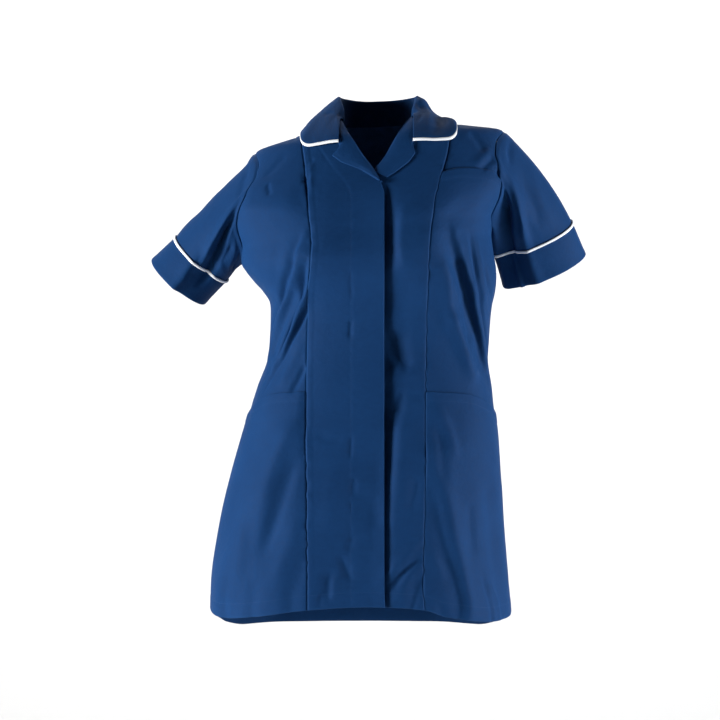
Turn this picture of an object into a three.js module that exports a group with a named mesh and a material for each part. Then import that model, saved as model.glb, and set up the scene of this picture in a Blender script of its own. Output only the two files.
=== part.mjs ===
// Medical tunic, worn shape: a hollow hip-length garment with princess seams, a concealed front fly, an open
// rever collar, three pockets, short sleeves with turned-up cuffs and white piping. Millimetres, +Z up.
// The origin is the centre of the neck opening; +X is the wearer's left, +Y the wearer's back.
import * as THREE from "three";

// Driving dimensions.
const WALL = 1.5; // cloth wall of every panel
const COLLAR_WALL = 2; // two layers of cloth and an interlining
const GAP = 0.3; // clearance between pieces at a seam
const ARMHOLE_GAP = 0.7;
const SQUARENESS = 2.4; // superellipse exponent of the rings round the body
const FRONT_EDGE_X = 8; // edge of the wearer's right front, which lies on top
const UNDERLAP_X = -27; // edge of the wearer's left front, underneath
const BREAK_Z = -96; // where the rever starts to turn back
const UNDERARM_Z = -180;
const NECK_Z = 14; // the ring on which the collar is sewn
const BACK_VENT_Z = -728; // one more row just above the back hem
const VENT_GAP = 2; // how far each hem corner draws back from the side seam
const POCKET_GAP = 0.6; // clearance under a patch that lies on a panel
const POCKET_STAND = { height: 1.4, from: -540, to: -440 }; // the hip pockets open a little at their mouths
const OVERLAP_LIFT = 1.2; // the top front rises by this at its edge
const OVERLAP_DROP = 2.4; // the under front sinks by this at its edge
const OVERLAP_BLEND = 60; // width over which both settle back
const YOKE_DROP = 2.8; // the pocket backing lies this far behind the pocket mouth
const PIPING_WIDTH = 4.4;
const PIPING_THICKNESS = 2.4;
const PIPING_CLEARANCE = 1.9; // between the cord of the collar and the shoulders
const CUFF_LIFT = 0.8; // the turned-up band is this much fuller than the sleeve
const BUST = { depth: 14, width: 52, height: 60, z: -190, right: -88, left: 70 };
const SHOULDER_TIP_Z = -18; // the ring that passes the outer ends of the shoulder seams
const BACK_SHOULDER_SHARE = 0.28; // share of the back's top edge that each shoulder seam takes
const ROLL_SHARE = 0.8; // share of a front's upper edge that is its roll line; the rest turns into the neck

const NAVY = { color: 0x1e4480, roughness: 0.72, metalness: 0 };
const WHITE = { color: 0xf1f3f6, roughness: 0.6, metalness: 0 };

// Rings round the body, from below the hem to the neck. Each is a superellipse about x = centre, with its
// half width, its depth to the front and to the back, and the slope of the shoulders (left side higher).
const RINGS = [
  { z: -790, centre: -27, half: 231, front: 140, back: 136, slope: 0 },
  { z: -750, centre: -27, half: 231, front: 140, back: 135, slope: 0 },
  { z: -690, centre: -28.5, half: 228, front: 138, back: 133, slope: 0 },
  { z: -614, centre: -26, half: 219, front: 134, back: 129, slope: 0 },
  { z: -540, centre: -20, half: 209, front: 128, back: 125, slope: 0 },
  { z: -455, centre: -11, half: 193, front: 117, back: 116, slope: 0 },
  { z: -400, centre: -6, half: 182, front: 110, back: 107, slope: 0 },
  { z: -345, centre: 0.5, half: 170, front: 105, back: 98, slope: 0 },
  { z: -310, centre: 3, half: 170, front: 107, back: 97, slope: 0.015 },
  { z: -280, centre: 5, half: 171, front: 112, back: 98, slope: 0.03 },
  { z: -260, centre: 7, half: 174, front: 117, back: 100, slope: 0.045 },
  { z: -240, centre: 3, half: 180, front: 122, back: 103, slope: 0.06 },
  { z: -220, centre: -5, half: 186, front: 126, back: 106, slope: 0.08 },
  { z: -200, centre: -13, half: 190, front: 127, back: 109, slope: 0.1 },
  { z: -180, centre: -18, half: 193, front: 125, back: 110, slope: 0.12 },
  { z: -160, centre: -18, half: 195, front: 122, back: 111, slope: 0.12 },
  { z: -140, centre: -17, half: 206, front: 120, back: 111, slope: 0.12 },
  { z: -120, centre: -15, half: 219, front: 117, back: 110, slope: 0.115 },
  { z: -100, centre: -12, half: 227, front: 112, back: 107, slope: 0.11 },
  { z: -80, centre: -8, half: 228, front: 105, back: 102, slope: 0.105 },
  { z: -60, centre: -4, half: 219, front: 98, back: 96, slope: 0.1 },
  { z: -40, centre: -1, half: 206, front: 91, back: 90, slope: 0.095 },
  { z: -18, centre: 2, half: 190, front: 82, back: 82, slope: 0.085 },
  { z: -6, centre: 1, half: 140, front: 74, back: 74, slope: 0.075 },
  { z: 4, centre: 0, half: 98, front: 67, back: 67, slope: 0.06 },
  { z: 14, centre: 0, half: 62, front: 60, back: 60, slope: 0.045 },
  { z: 24, centre: 0, half: 56, front: 57, back: 58, slope: 0.03 },
];

// The largest folds of the worn cloth. Each is a soft ridge, or a trough where its height is negative, along
// a line from one place to another; a place is an angle round the body in degrees and a height.
const FOLDS = [
  // the wearer's right side of the waist
  { angle: -24, z: -190, toAngle: -42, toZ: -264, width: 13, height: 3 },
  { angle: -42, z: -264, toAngle: -63, toZ: -358, width: 13, height: 4 },
  { angle: -46, z: -250, toAngle: -68, toZ: -340, width: 11, height: -4 },
  { angle: -60, z: -262, toAngle: -76, toZ: -350, width: 12, height: 3.5 },
  // the wearer's left side of the waist
  { angle: 28, z: -231, toAngle: 35, toZ: -300, width: 13, height: 3 },
  { angle: 35, z: -300, toAngle: 54, toZ: -375, width: 13, height: 4 },
  { angle: 38, z: -225, toAngle: 50, toZ: -318, width: 11, height: -3 },
  { angle: 48, z: -255, toAngle: 72, toZ: -360, width: 12, height: 3.5 },
  // beside the front edge
  { angle: 7, z: -240, toAngle: 9, toZ: -440, width: 14, height: -3.5 },
  // the skirt below the hips
  { angle: 26, z: -499, toAngle: 41, toZ: -735, width: 22, height: 5 },
  { angle: 60, z: -560, toAngle: 66, toZ: -740, width: 18, height: -4 },
  { angle: -35, z: -470, toAngle: -62, toZ: -700, width: 24, height: 4 },
  // the back of the waist
  { angle: 146, z: -210, toAngle: 124, toZ: -330, width: 14, height: 4 },
  { angle: 132, z: -230, toAngle: 112, toZ: -350, width: 12, height: -4 },
  { angle: -150, z: -215, toAngle: -120, toZ: -345, width: 14, height: 4 },
  { angle: -128, z: -240, toAngle: -108, toZ: -350, width: 12, height: -4 },
  // the back of the skirt
  { angle: 158, z: -470, toAngle: 150, toZ: -775, width: 24, height: 6 },
  { angle: 118, z: -500, toAngle: 112, toZ: -760, width: 20, height: -4 },
  { angle: -162, z: -450, toAngle: -148, toZ: -775, width: 26, height: 6 },
  { angle: -116, z: -480, toAngle: -110, toZ: -750, width: 20, height: -4 },
];
const FOLD_RADIUS = 150; // turns an angle round the body into a length of cloth

// Heights of the rows of every body panel, from above the hem to just under the armhole.
const POCKET_ROW = -455; // the lowest row that the mouths of the hip pockets stay above
const BODY_ROWS = [
  -690, -614, -540, POCKET_ROW, -400, -345, -310, -280, -260, -240, -220, -200, UNDERARM_Z,
];

// Princess seams of the fronts: where they cross each height.
const PRINCESS_RIGHT = [
  { z: -790, x: -105 },
  { z: -550, x: -108 },
  { z: -400, x: -109 },
  { z: -262, x: -106 },
  { z: -180, x: -100 },
  { z: -122, x: -105 },
  { z: -57, x: -111 },
  { z: -20, x: -116 },
  { z: 14, x: -120 },
];
const PRINCESS_LEFT = [
  { z: -790, x: 63 },
  { z: -637, x: 67 },
  { z: -371, x: 71 },
  { z: -204, x: 75 },
  { z: -132, x: 83 },
  { z: -85, x: 95 },
  { z: -51, x: 104 },
  { z: 14, x: 112 },
];

// Stations up the two long seams above the underarm, with the angle of the armhole from the centre front
// and from the centre back. The last one is the shoulder seam.
const UPPER = [
  { princess: -180, armhole: UNDERARM_Z, front: 90, back: 90 },
  { princess: -160, armhole: -168, front: 80, back: 79 },
  { princess: -138, armhole: -152, front: 74, back: 71 },
  { princess: -117, armhole: -134, front: 69, back: 65 },
  { princess: BREAK_Z, armhole: -114, front: 62, back: 59 },
  { princess: -84, armhole: -102, front: 58, back: 56 },
  { princess: -68, armhole: -84, front: 54, back: 53 },
  { princess: -50, armhole: -66, front: 53, back: 53 },
  { princess: -34, armhole: -50, front: 56, back: 56 },
  { princess: -19, armhole: -36, front: 62, back: 62 },
  { princess: -9, armhole: -25, front: 73, back: 73 },
  { princess: null, armhole: SHOULDER_TIP_Z, front: 90, back: 90 },
];
const BREAK_ROW = 4; // the station of the rever's break
const MOUTH_ROW = 5; // the station where the chest pocket's mouth meets both seams
const YOKE_ROW = 4; // the pocket backing starts one station lower

// Roll lines of the revers from the break to the neck.
const ROLL_RIGHT = [
  { x: 5, z: -96 },
  { x: -8, z: -72 },
  { x: -24, z: -48 },
  { x: -36, z: -28 },
  { x: -47, z: -9 },
  { x: -56, z: 10 },
];
const ROLL_LEFT = [
  { x: -20, z: -96 },
  { x: -8, z: -74 },
  { x: 9, z: -54 },
  { x: 23, z: -30 },
  { x: 38, z: -6 },
  { x: 50, z: 10 },
];
// Outer edges of the revers from the gorge seam, over the corner, down to the front edge.
const REVER_RIGHT = [
  { x: -58, z: -31 },
  { x: -70, z: -43 },
  { x: -56, z: -55 },
  { x: -28, z: -69 },
  { x: 5, z: -94 },
];
const REVER_LEFT = [
  { x: 50, z: -38 },
  { x: 55, z: -52 },
  { x: 45, z: -65 },
  { x: 24, z: -79 },
  { x: 12, z: -85 },
];
const REVER_LIFT = { fold: 0.5, middle: 3.2, edge: 1.4 }; // air between each rever and its front

// Front hem by angle round the ring: it dips at the sides and its corners are rounded.
const FRONT_HEM = [
  { angle: -90, z: -734 },
  { angle: -79, z: -741 },
  { angle: -62, z: -745 },
  { angle: -38, z: -738 },
  { angle: -16, z: -726 },
  { angle: 3, z: -721 },
  { angle: 20, z: -726 },
  { angle: 30, z: -738 },
  { angle: 63, z: -750 },
  { angle: 79, z: -747 },
  { angle: 90, z: -738 },
];

// Back hem by angle from the centre back; it hangs lower than the front and its corners are rounded.
const BACK_HEM = [
  { angle: 0, z: -780 },
  { angle: 50, z: -779 },
  { angle: 64, z: -772 },
  { angle: 78, z: -758 },
  { angle: 90, z: -745 },
];

// Pocket mouths, across the panel from the princess seam to its outer edge.
const CHEST_MOUTH = [
  { x: 95, z: -84 },
  { x: 122, z: -80 },
  { x: 152, z: -83 },
  { x: 176, z: -91 },
  { x: 187, z: -102 },
];
const HIP_MOUTH = [
  { share: 0, z: -403 },
  { share: 0.35, z: -407 },
  { share: 0.7, z: -424 },
  { share: 1, z: -446 },
];

// Sleeves: the ring at the top of the cuff, the ring at its end, and how the arm turns. out is the angle from
// the vertical, back the angle towards the wearer's back.
const SLEEVES = {
  right: {
    side: -1,
    out: 42,
    back: 12,
    top: { centre: [-276, 25, -198], half: 52, depth: 54 },
    end: { centre: [-313, 36, -233], half: 53.5, depth: 56 },
    fullness: 5,
    hollow: 1,
  },
  left: {
    side: 1,
    out: 23,
    back: 25,
    top: { centre: [243, 32, -165], half: 66, depth: 38 },
    end: { centre: [260, 53, -207], half: 69, depth: 37 },
    fullness: 9,
    hollow: 2,
  },
};
const FRONT_SWELL = 0.3; // share of a sleeve's fullness that its front and back take
const SLEEVE_ROWS = 7;
const CUFF_ROWS = 3;

// Half of the collar from its front end to the centre back: the angle at which the stand leaves the neck
// ring, the height of the roll above that ring, the outer edge of the fall, and how far the edge follows the
// slope of the shoulders.
const COLLAR = [
  { angle: 52, roll: 3, x: 62, y: -85, z: -27, slope: 0 },
  { angle: 58, roll: 14, x: 82, y: -84, z: -27, slope: 0.02 },
  { angle: 67, roll: 25, x: 103, y: -77, z: -29, slope: 0.04 },
  { angle: 76, roll: 33, x: 115, y: -64, z: -22, slope: 0.05 },
  { angle: 88, roll: 39, x: 118, y: -38, z: -7, slope: 0.06 },
  { angle: 105, roll: 41, x: 114, y: 4, z: 4, slope: 0.06 },
  { angle: 128, roll: 41, x: 99, y: 48, z: 5, slope: 0.05 },
  { angle: 154, roll: 40, x: 56, y: 78, z: -1, slope: 0.03 },
  { angle: 180, roll: 39, x: 0, y: 86, z: -3, slope: 0 },
];
const ROLL_SLOPE = 0.012; // the roll is nearly level though the shoulders are not
const COLLAR_TUCK = 2.5; // the stand reaches this far below the neck edge
const COLLAR_SEAM = 2.3; // the stand stays this far inside the neck edge
const COLLAR_CLEARANCE = 9; // the fall's upper face stays this far off the shoulders and chest
const ROLL_RADIUS = 4;
const ROLL_SPREAD = 0.8; // how far out the roll reaches, as a share of its radius
const LOWEST_STAND = 0.5; // the stand never gets shorter than this
const FALL_BOW = { at: 0.45, out: 3, up: 5 }; // how the fall arches between the roll and its outer edge

const rad = THREE.MathUtils.degToRad;
const lerp = THREE.MathUtils.lerp;
const point = (p) => new THREE.Vector3(...p);

// Smooth interpolation of one column of a table over another, without overshoot (monotone cubic).
function smooth(table, along, column, at) {
  const xs = table.map((row) => row[along]);
  const ys = table.map((row) => row[column]);
  const last = xs.length - 1;
  const x = THREE.MathUtils.clamp(at, xs[0], xs[last]);
  const steps = xs.slice(1).map((v, i) => v - xs[i]);
  const rises = ys.slice(1).map((v, i) => (v - ys[i]) / steps[i]);
  const tangent = (i) => {
    if (i === 0) return rises[0];
    if (i === last) return rises[last - 1];
    if (rises[i - 1] * rises[i] <= 0) return 0;
    const before = 2 * steps[i] + steps[i - 1];
    const after = steps[i] + 2 * steps[i - 1];
    return (before + after) / (before / rises[i - 1] + after / rises[i]);
  };
  let i = last - 1;
  while (i > 0 && x < xs[i]) i -= 1;
  const t = (x - xs[i]) / steps[i];
  return (
    ys[i] * (1 + 2 * t) * (1 - t) ** 2 +
    steps[i] * tangent(i) * t * (1 - t) ** 2 +
    ys[i + 1] * t * t * (3 - 2 * t) +
    steps[i] * tangent(i + 1) * t * t * (t - 1)
  );
}

// A table of points read as one smooth curve from its first row to its last, t from 0 to 1.
function along(table, t) {
  const rows = table.map((row, i) => ({ ...row, t: i / (table.length - 1) }));
  const result = {};
  for (const column of Object.keys(table[0])) result[column] = smooth(rows, "t", column, t);
  return result;
}

const RING_COLUMNS = ["centre", "half", "front", "back", "slope"];
const ringCache = new Map();
function ring(z) {
  if (!ringCache.has(z)) {
    const row = {};
    for (const column of RING_COLUMNS) row[column] = smooth(RINGS, "z", column, z);
    ringCache.set(z, row);
  }
  return ringCache.get(z);
}

// How far the folds push the cloth out at an angle and height.
function foldHeight(angle, z) {
  const turn = THREE.MathUtils.radToDeg(angle);
  let sum = 0;
  for (const fold of FOLDS) {
    const apart = THREE.MathUtils.euclideanModulo(turn - fold.angle + 180, 360) - 180;
    const across = rad(apart) * FOLD_RADIUS;
    const up = z - fold.z;
    const runAcross = rad(fold.toAngle - fold.angle) * FOLD_RADIUS;
    const runUp = fold.toZ - fold.z;
    const share = (across * runAcross + up * runUp) / (runAcross ** 2 + runUp ** 2);
    const t = THREE.MathUtils.clamp(share, 0, 1);
    const distance = Math.hypot(across - t * runAcross, up - t * runUp);
    sum += fold.height * Math.exp(-((distance / fold.width) ** 2));
  }
  return sum;
}

// The body surface: angle 0 is the centre front, 90 degrees the wearer's left side, 180 the centre back.
function body(angle, z) {
  const r = ring(z);
  const across = Math.sign(Math.sin(angle)) * Math.abs(Math.sin(angle)) ** (2 / SQUARENESS);
  const through = Math.abs(Math.cos(angle)) ** (2 / SQUARENESS);
  const x = r.centre + r.half * across;
  let y = r.back * through;
  if (Math.cos(angle) > 0) {
    const fullness = [BUST.right, BUST.left].map((apex) =>
      Math.exp(-(((x - apex) / BUST.width) ** 2) - ((z - BUST.z) / BUST.height) ** 2),
    );
    y = -(r.front + BUST.depth * (fullness[0] + fullness[1])) * through;
  }
  const fold = foldHeight(angle, z);
  return new THREE.Vector3(x + fold * Math.sin(angle), y - fold * Math.cos(angle), z + x * r.slope);
}

function bodyNormal(angle, z) {
  const turn = 0.02;
  const rise = 1;
  const round = body(angle + turn, z).sub(body(angle - turn, z));
  const up = body(angle, z + rise).sub(body(angle, z - rise));
  return round.cross(up).normalize();
}

// The angle at which the front of the ring at height z passes x.
function angleAt(x, z) {
  const r = ring(z);
  const share = THREE.MathUtils.clamp((x - r.centre) / r.half, -1, 1);
  return Math.sign(share) * Math.asin(Math.abs(share) ** (SQUARENESS / 2));
}

// Whether a point lies within the body surface.
function insideBody(p) {
  const z = p.z - p.x * ring(p.z).slope;
  const r = ring(z);
  const depth = p.y < 0 ? r.front : r.back;
  const across = (Math.abs(p.x - r.centre) / r.half) ** SQUARENESS;
  return across + (Math.abs(p.y) / depth) ** SQUARENESS < 1;
}

// Moves a point straight out until it is clear of the body surface.
function clearOfBody(p, clearance) {
  const step = 0.25;
  const z = p.z - p.x * ring(p.z).slope;
  const turn = angleAt(p.x, z);
  const normal = bodyNormal(p.y < 0 ? turn : Math.PI - turn, z);
  while (insideBody(p.clone().addScaledVector(normal, -clearance))) p.addScaledVector(normal, step);
  return p;
}

// The height at which the shoulder seam (the end of every ring) passes x.
const HALVINGS = 40;
function shoulderZ(x) {
  let low = SHOULDER_TIP_Z;
  let high = NECK_Z;
  for (let i = 0; i < HALVINGS; i += 1) {
    const middle = (low + high) / 2;
    const r = ring(middle);
    if (r.half + Math.sign(x) * r.centre > Math.abs(x)) low = middle;
    else high = middle;
  }
  return low;
}

// A patch of (angle, height) pairs between four boundary lists: rows run upwards, columns across.
function patch(left, right, bottom, top) {
  const rows = left.length - 1;
  const columns = bottom.length - 1;
  return left.map((l, j) =>
    bottom.map((b, i) => {
      const v = j / rows;
      const u = i / columns;
      return [0, 1].map(
        (k) =>
          (1 - u) * l[k] +
          u * right[j][k] +
          (1 - v) * b[k] +
          v * top[i][k] -
          (1 - u) * (1 - v) * left[0][k] -
          u * (1 - v) * right[0][k] -
          (1 - u) * v * left[rows][k] -
          u * v * right[rows][k],
      );
    }),
  );
}

// Evenly spaced (angle, height) pairs from a to b.
function spread(a, b, columns) {
  const shares = Array.from({ length: columns + 1 }, (_, i) => i / columns);
  return shares.map((u) => [lerp(a[0], b[0], u), lerp(a[1], b[1], u)]);
}

// Turns (angle, height) pairs into points on the body, raised by lift(angle, z), with their normals.
function raise(pairs, lift = () => 0) {
  const normals = pairs.map((row) => row.map(([angle, z]) => bodyNormal(angle, z)));
  const points = pairs.map((row, j) =>
    row.map(([angle, z], i) => body(angle, z).addScaledVector(normals[j][i], lift(angle, z))),
  );
  return { points, normals };
}

// Draws the border of a grid back from the seams by half of the gap.
function drawBack(grid, amount = GAP / 2) {
  const rows = grid.points.length - 1;
  const columns = grid.points[0].length - 1;
  const moved = grid.points.map((row) => row.map((p) => p.clone()));
  const towards = (j, i, dj, di) => {
    const step = grid.points[j + dj][i + di].clone().sub(grid.points[j][i]);
    moved[j][i].addScaledVector(step.normalize(), amount);
  };
  for (let j = 0; j <= rows; j += 1) {
    towards(j, 0, 0, 1);
    towards(j, columns, 0, -1);
  }
  for (let i = 0; i <= columns; i += 1) {
    towards(0, i, 1, 0);
    towards(rows, i, -1, 0);
  }
  return { points: moved, normals: grid.normals };
}

// Normals of a grid that has no formula, from its neighbours. Columns close on themselves when wrap is set.
function gridNormals(points, wrap, outward) {
  const rows = points.length;
  const columns = points[0].length;
  return points.map((row, j) =>
    row.map((p, i) => {
      const before = wrap ? (i + columns - 1) % columns : Math.max(i - 1, 0);
      const after = wrap ? (i + 1) % columns : Math.min(i + 1, columns - 1);
      const round = row[after].clone().sub(row[before]);
      const up = points[Math.min(j + 1, rows - 1)][i].clone().sub(points[Math.max(j - 1, 0)][i]);
      return round.cross(up).multiplyScalar(outward).normalize();
    }),
  );
}

// A closed mesh from vertices and quads or triangles, turned so that its faces point out.
function solid(name, look, vertices, faces) {
  const triangles = [];
  for (const f of faces) {
    triangles.push([f[0], f[1], f[2]]);
    if (f.length === 4) triangles.push([f[0], f[2], f[3]]);
  }
  let volume = 0;
  for (const [a, b, c] of triangles) volume += vertices[a].dot(vertices[b].clone().cross(vertices[c]));
  if (volume < 0) for (const t of triangles) t.reverse();
  const geometry = new THREE.BufferGeometry().setFromPoints(vertices);
  geometry.setIndex(triangles.flat());
  geometry.computeVertexNormals();
  const mesh = new THREE.Mesh(geometry, new THREE.MeshStandardMaterial(look));
  mesh.name = name;
  return mesh;
}

// A cloth wall: the grid is its outer face and the inner face lies one wall thickness behind it.
function shell(name, look, grid, wall = WALL, wrap = false) {
  const rows = grid.points.length;
  const columns = grid.points[0].length;
  const outer = grid.points.flat();
  const inner = outer.map((p, k) => p.clone().addScaledVector(grid.normals.flat()[k], -wall));
  const at = (j, i) => j * columns + (i % columns);
  const under = (j, i) => outer.length + at(j, i);
  const faces = [];
  const spans = wrap ? columns : columns - 1;
  for (let j = 0; j < rows - 1; j += 1)
    for (let i = 0; i < spans; i += 1) {
      faces.push([at(j, i), at(j, i + 1), at(j + 1, i + 1), at(j + 1, i)]);
      faces.push([under(j, i), under(j + 1, i), under(j + 1, i + 1), under(j, i + 1)]);
    }
  for (let i = 0; i < spans; i += 1) {
    faces.push([under(0, i), under(0, i + 1), at(0, i + 1), at(0, i)]);
    faces.push([at(rows - 1, i), at(rows - 1, i + 1), under(rows - 1, i + 1), under(rows - 1, i)]);
  }
  const last = columns - 1;
  if (!wrap)
    for (let j = 0; j < rows - 1; j += 1) {
      faces.push([at(j, 0), at(j + 1, 0), under(j + 1, 0), under(j, 0)]);
      faces.push([under(j, last), under(j + 1, last), at(j + 1, last), at(j, last)]);
    }
  return solid(name, look, [...outer, ...inner], faces);
}

// Piping: an oval cord through the given stations, each with a centre, the way out of the cloth and the way
// along the cloth. It closes on itself round a cuff and ends flat on a collar.
function piping(name, stations, closed) {
  const sides = 6;
  const vertices = stations.flatMap(({ centre, out, flat }) =>
    Array.from({ length: sides }, (_, k) => {
      const turn = (2 * Math.PI * k) / sides;
      return centre
        .clone()
        .addScaledVector(out, (Math.cos(turn) * PIPING_THICKNESS) / 2)
        .addScaledVector(flat, (Math.sin(turn) * PIPING_WIDTH) / 2);
    }),
  );
  const count = stations.length;
  const at = (j, k) => (j % count) * sides + (k % sides);
  const faces = [];
  for (let j = 0; j < (closed ? count : count - 1); j += 1)
    for (let k = 0; k < sides; k += 1) faces.push([at(j, k), at(j, k + 1), at(j + 1, k + 1), at(j + 1, k)]);
  if (!closed)
    for (let k = 1; k < sides - 1; k += 1) {
      faces.push([at(0, 0), at(0, k + 1), at(0, k)]);
      faces.push([at(count - 1, 0), at(count - 1, k), at(count - 1, k + 1)]);
    }
  return solid(name, WHITE, vertices, faces);
}

const princessTable = (side) => (side < 0 ? PRINCESS_RIGHT : PRINCESS_LEFT);
function princessAngle(side, z) {
  return angleAt(smooth(princessTable(side), "z", "x", z), z);
}
const frontHem = (angle) => smooth(FRONT_HEM, "angle", "z", THREE.MathUtils.radToDeg(angle));
const armhole = (side, row) => [side * rad(UPPER[row].front), UPPER[row].armhole];
function princess(side, row) {
  const z = UPPER[row].princess;
  if (z !== null) return [princessAngle(side, z), z];
  return [(side * Math.PI) / 2, shoulderZ(along(princessTable(side), 1).x)];
}
const rowsFrom = (first, last) => Array.from({ length: last - first + 1 }, (_, k) => first + k);
const SHOULDER_ROW = UPPER.length - 1;

// The rows of a side front between its princess seam and its side seam, from the hem to the underarm.
const SIDE_COLUMNS = 8;
function sideRows(side) {
  const across = (z, u) => lerp(princessAngle(side, z), (side * Math.PI) / 2, u);
  const hem = Array.from({ length: SIDE_COLUMNS + 1 }, (_, i) => {
    const angle = across(BODY_ROWS[0], i / SIDE_COLUMNS);
    return [angle, frontHem(angle)];
  });
  const level = BODY_ROWS.map((z) =>
    Array.from({ length: SIDE_COLUMNS + 1 }, (_, i) => [across(z, i / SIDE_COLUMNS), z]),
  );
  return [hem, ...level];
}

// A side front: the right one runs up to the shoulder, the left one ends at the chest pocket's mouth.
function sideFront(side) {
  const lower = sideRows(side);
  const last = side < 0 ? SHOULDER_ROW : MOUTH_ROW;
  const rows = rowsFrom(0, last);
  const seam = rows.map((row) => princess(side, row));
  const hole = rows.map((row) => armhole(side, row));
  const top =
    side < 0
      ? spread(seam[last], hole[last], SIDE_COLUMNS)
      : Array.from({ length: SIDE_COLUMNS + 1 }, (_, i) => mouth(i / SIDE_COLUMNS, seam[last], hole[last]));
  const upper = patch(seam, hole, lower[lower.length - 1], top);
  return [...lower, ...upper.slice(1)];
}

// The chest pocket's mouth as (angle, height), meeting its two seams exactly.
function mouth(share, start, end) {
  if (share === 0) return start;
  if (share === 1) return end;
  const p = along(CHEST_MOUTH, share);
  return [angleAt(p.x, p.z), p.z];
}

// The pocket's backing, from inside the pocket up to the shoulder.
function yoke() {
  const rows = rowsFrom(YOKE_ROW, SHOULDER_ROW);
  const seam = rows.map((row) => princess(1, row));
  const hole = rows.map((row) => armhole(1, row));
  const start = princess(1, MOUTH_ROW);
  const end = armhole(1, MOUTH_ROW);
  const bottom = Array.from({ length: SIDE_COLUMNS + 1 }, (_, i) => {
    const share = i / SIDE_COLUMNS;
    const lip = mouth(share, start, end);
    const drop = lerp(seam[0][1] - start[1], hole[0][1] - end[1], share);
    if (share === 0) return seam[0];
    if (share === 1) return hole[0];
    return [lip[0], lip[1] + drop];
  });
  return patch(seam, hole, bottom, spread(seam[rows.length - 1], hole[rows.length - 1], SIDE_COLUMNS));
}

// A centre front from the hem to the shoulder, between its princess seam and its free edge.
const CENTRE_COLUMNS = 5;
function centreFront(side) {
  const edgeX = side < 0 ? FRONT_EDGE_X : UNDERLAP_X;
  const roll = side < 0 ? ROLL_RIGHT : ROLL_LEFT;
  const heights = [...BODY_ROWS, ...rowsFrom(1, BREAK_ROW).map((row) => UPPER[row].princess)];
  const level = (z, u) => {
    const x = z > BREAK_Z - 1 ? roll[0].x : edgeX;
    return lerp(princessAngle(side, z), angleAt(x, z), u);
  };
  const hem = Array.from({ length: CENTRE_COLUMNS + 1 }, (_, i) => {
    const angle = level(BODY_ROWS[0], i / CENTRE_COLUMNS);
    return [angle, frontHem(angle)];
  });
  const lower = heights.map((z) =>
    Array.from({ length: CENTRE_COLUMNS + 1 }, (_, i) => [level(z, i / CENTRE_COLUMNS), z]),
  );
  const rows = rowsFrom(BREAK_ROW, SHOULDER_ROW);
  const seam = rows.map((row) => princess(side, row));
  const edge = rows.map((_, k) => rollPoint(side, k / (rows.length - 1)));
  const top = spread(seam[rows.length - 1], edge[rows.length - 1], CENTRE_COLUMNS);
  const upper = patch(seam, edge, lower[lower.length - 1], top);
  return [hem, ...lower, ...upper.slice(1)];
}

// The roll line as (angle, height); its last stretch runs on to the shoulder at the neck.
function rollPoint(side, t) {
  const roll = side < 0 ? ROLL_RIGHT : ROLL_LEFT;
  const neck = [(side * Math.PI) / 2, NECK_Z];
  const p = along(roll, Math.min(t / ROLL_SHARE, 1));
  const angle = angleAt(p.x, p.z);
  if (t <= ROLL_SHARE) return [angle, p.z];
  const rest = (t - ROLL_SHARE) / (1 - ROLL_SHARE);
  return [lerp(angle, neck[0], rest), lerp(p.z, neck[1], rest)];
}

// The two fronts part at their overlap: the right one rises a little and the left one sinks under it.
function overlapLift(side) {
  return (angle, z) => {
    const x = body(angle, z).x;
    const distance = side < 0 ? FRONT_EDGE_X - x : x - FRONT_EDGE_X;
    const share = THREE.MathUtils.smoothstep(1 - distance / OVERLAP_BLEND, 0, 1);
    return side < 0 ? OVERLAP_LIFT * share : -OVERLAP_DROP * share;
  };
}

// The back from its hem to the shoulder seams and the neck edge.
const BACK_COLUMNS = 24;
function backPanel() {
  const angles = Array.from({ length: BACK_COLUMNS + 1 }, (_, i) => Math.PI * (0.5 + i / BACK_COLUMNS));
  const hem = angles.map((angle) => {
    const turn = THREE.MathUtils.radToDeg(Math.abs(angle - Math.PI));
    return [angle, smooth(BACK_HEM, "angle", "z", turn)];
  });
  const level = [BACK_VENT_Z, ...BODY_ROWS].map((z) => angles.map((angle) => [angle, z]));
  const lower = [hem, ...level];
  const edge = (side) => UPPER.map((row) => [Math.PI - side * rad(row.back), row.armhole]);
  const left = edge(1);
  const right = edge(-1);
  const top = angles.map((_, i) => {
    const share = i / BACK_COLUMNS;
    const fromEnd = Math.min(share, 1 - share);
    const end = share < 0.5 ? Math.PI / 2 : (3 * Math.PI) / 2;
    if (fromEnd <= BACK_SHOULDER_SHARE)
      return [end, lerp(SHOULDER_TIP_Z, NECK_Z, fromEnd / BACK_SHOULDER_SHARE)];
    const round = (share - BACK_SHOULDER_SHARE) / (1 - 2 * BACK_SHOULDER_SHARE);
    return [Math.PI * (0.5 + round), NECK_Z];
  });
  const upper = patch(left, right, lower[lower.length - 1], top);
  return [...lower, ...upper.slice(1)];
}

// A hip pocket's outer layer: the side front's own columns, from the sloping mouth to the hem.
function hipPocket(side) {
  const rows = sideRows(side);
  const below = rows.slice(0, BODY_ROWS.indexOf(POCKET_ROW) + 2);
  const lip = rows[0].map((_, i) => {
    const share = i / SIDE_COLUMNS;
    const z = smooth(HIP_MOUTH, "share", "z", share);
    return [lerp(princessAngle(side, z), (side * Math.PI) / 2, share), z];
  });
  return [...below, lip];
}

// The loop of the armhole seam: up the front from the underarm to the shoulder tip and down the back.
function armholeLoop(side) {
  const front = UPPER.map((row) => [side * rad(row.front), row.armhole]);
  const back = UPPER.map((row) => [Math.PI - side * rad(row.back), row.armhole]);
  return [...front, ...back.slice(1, -1).reverse()];
}

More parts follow.
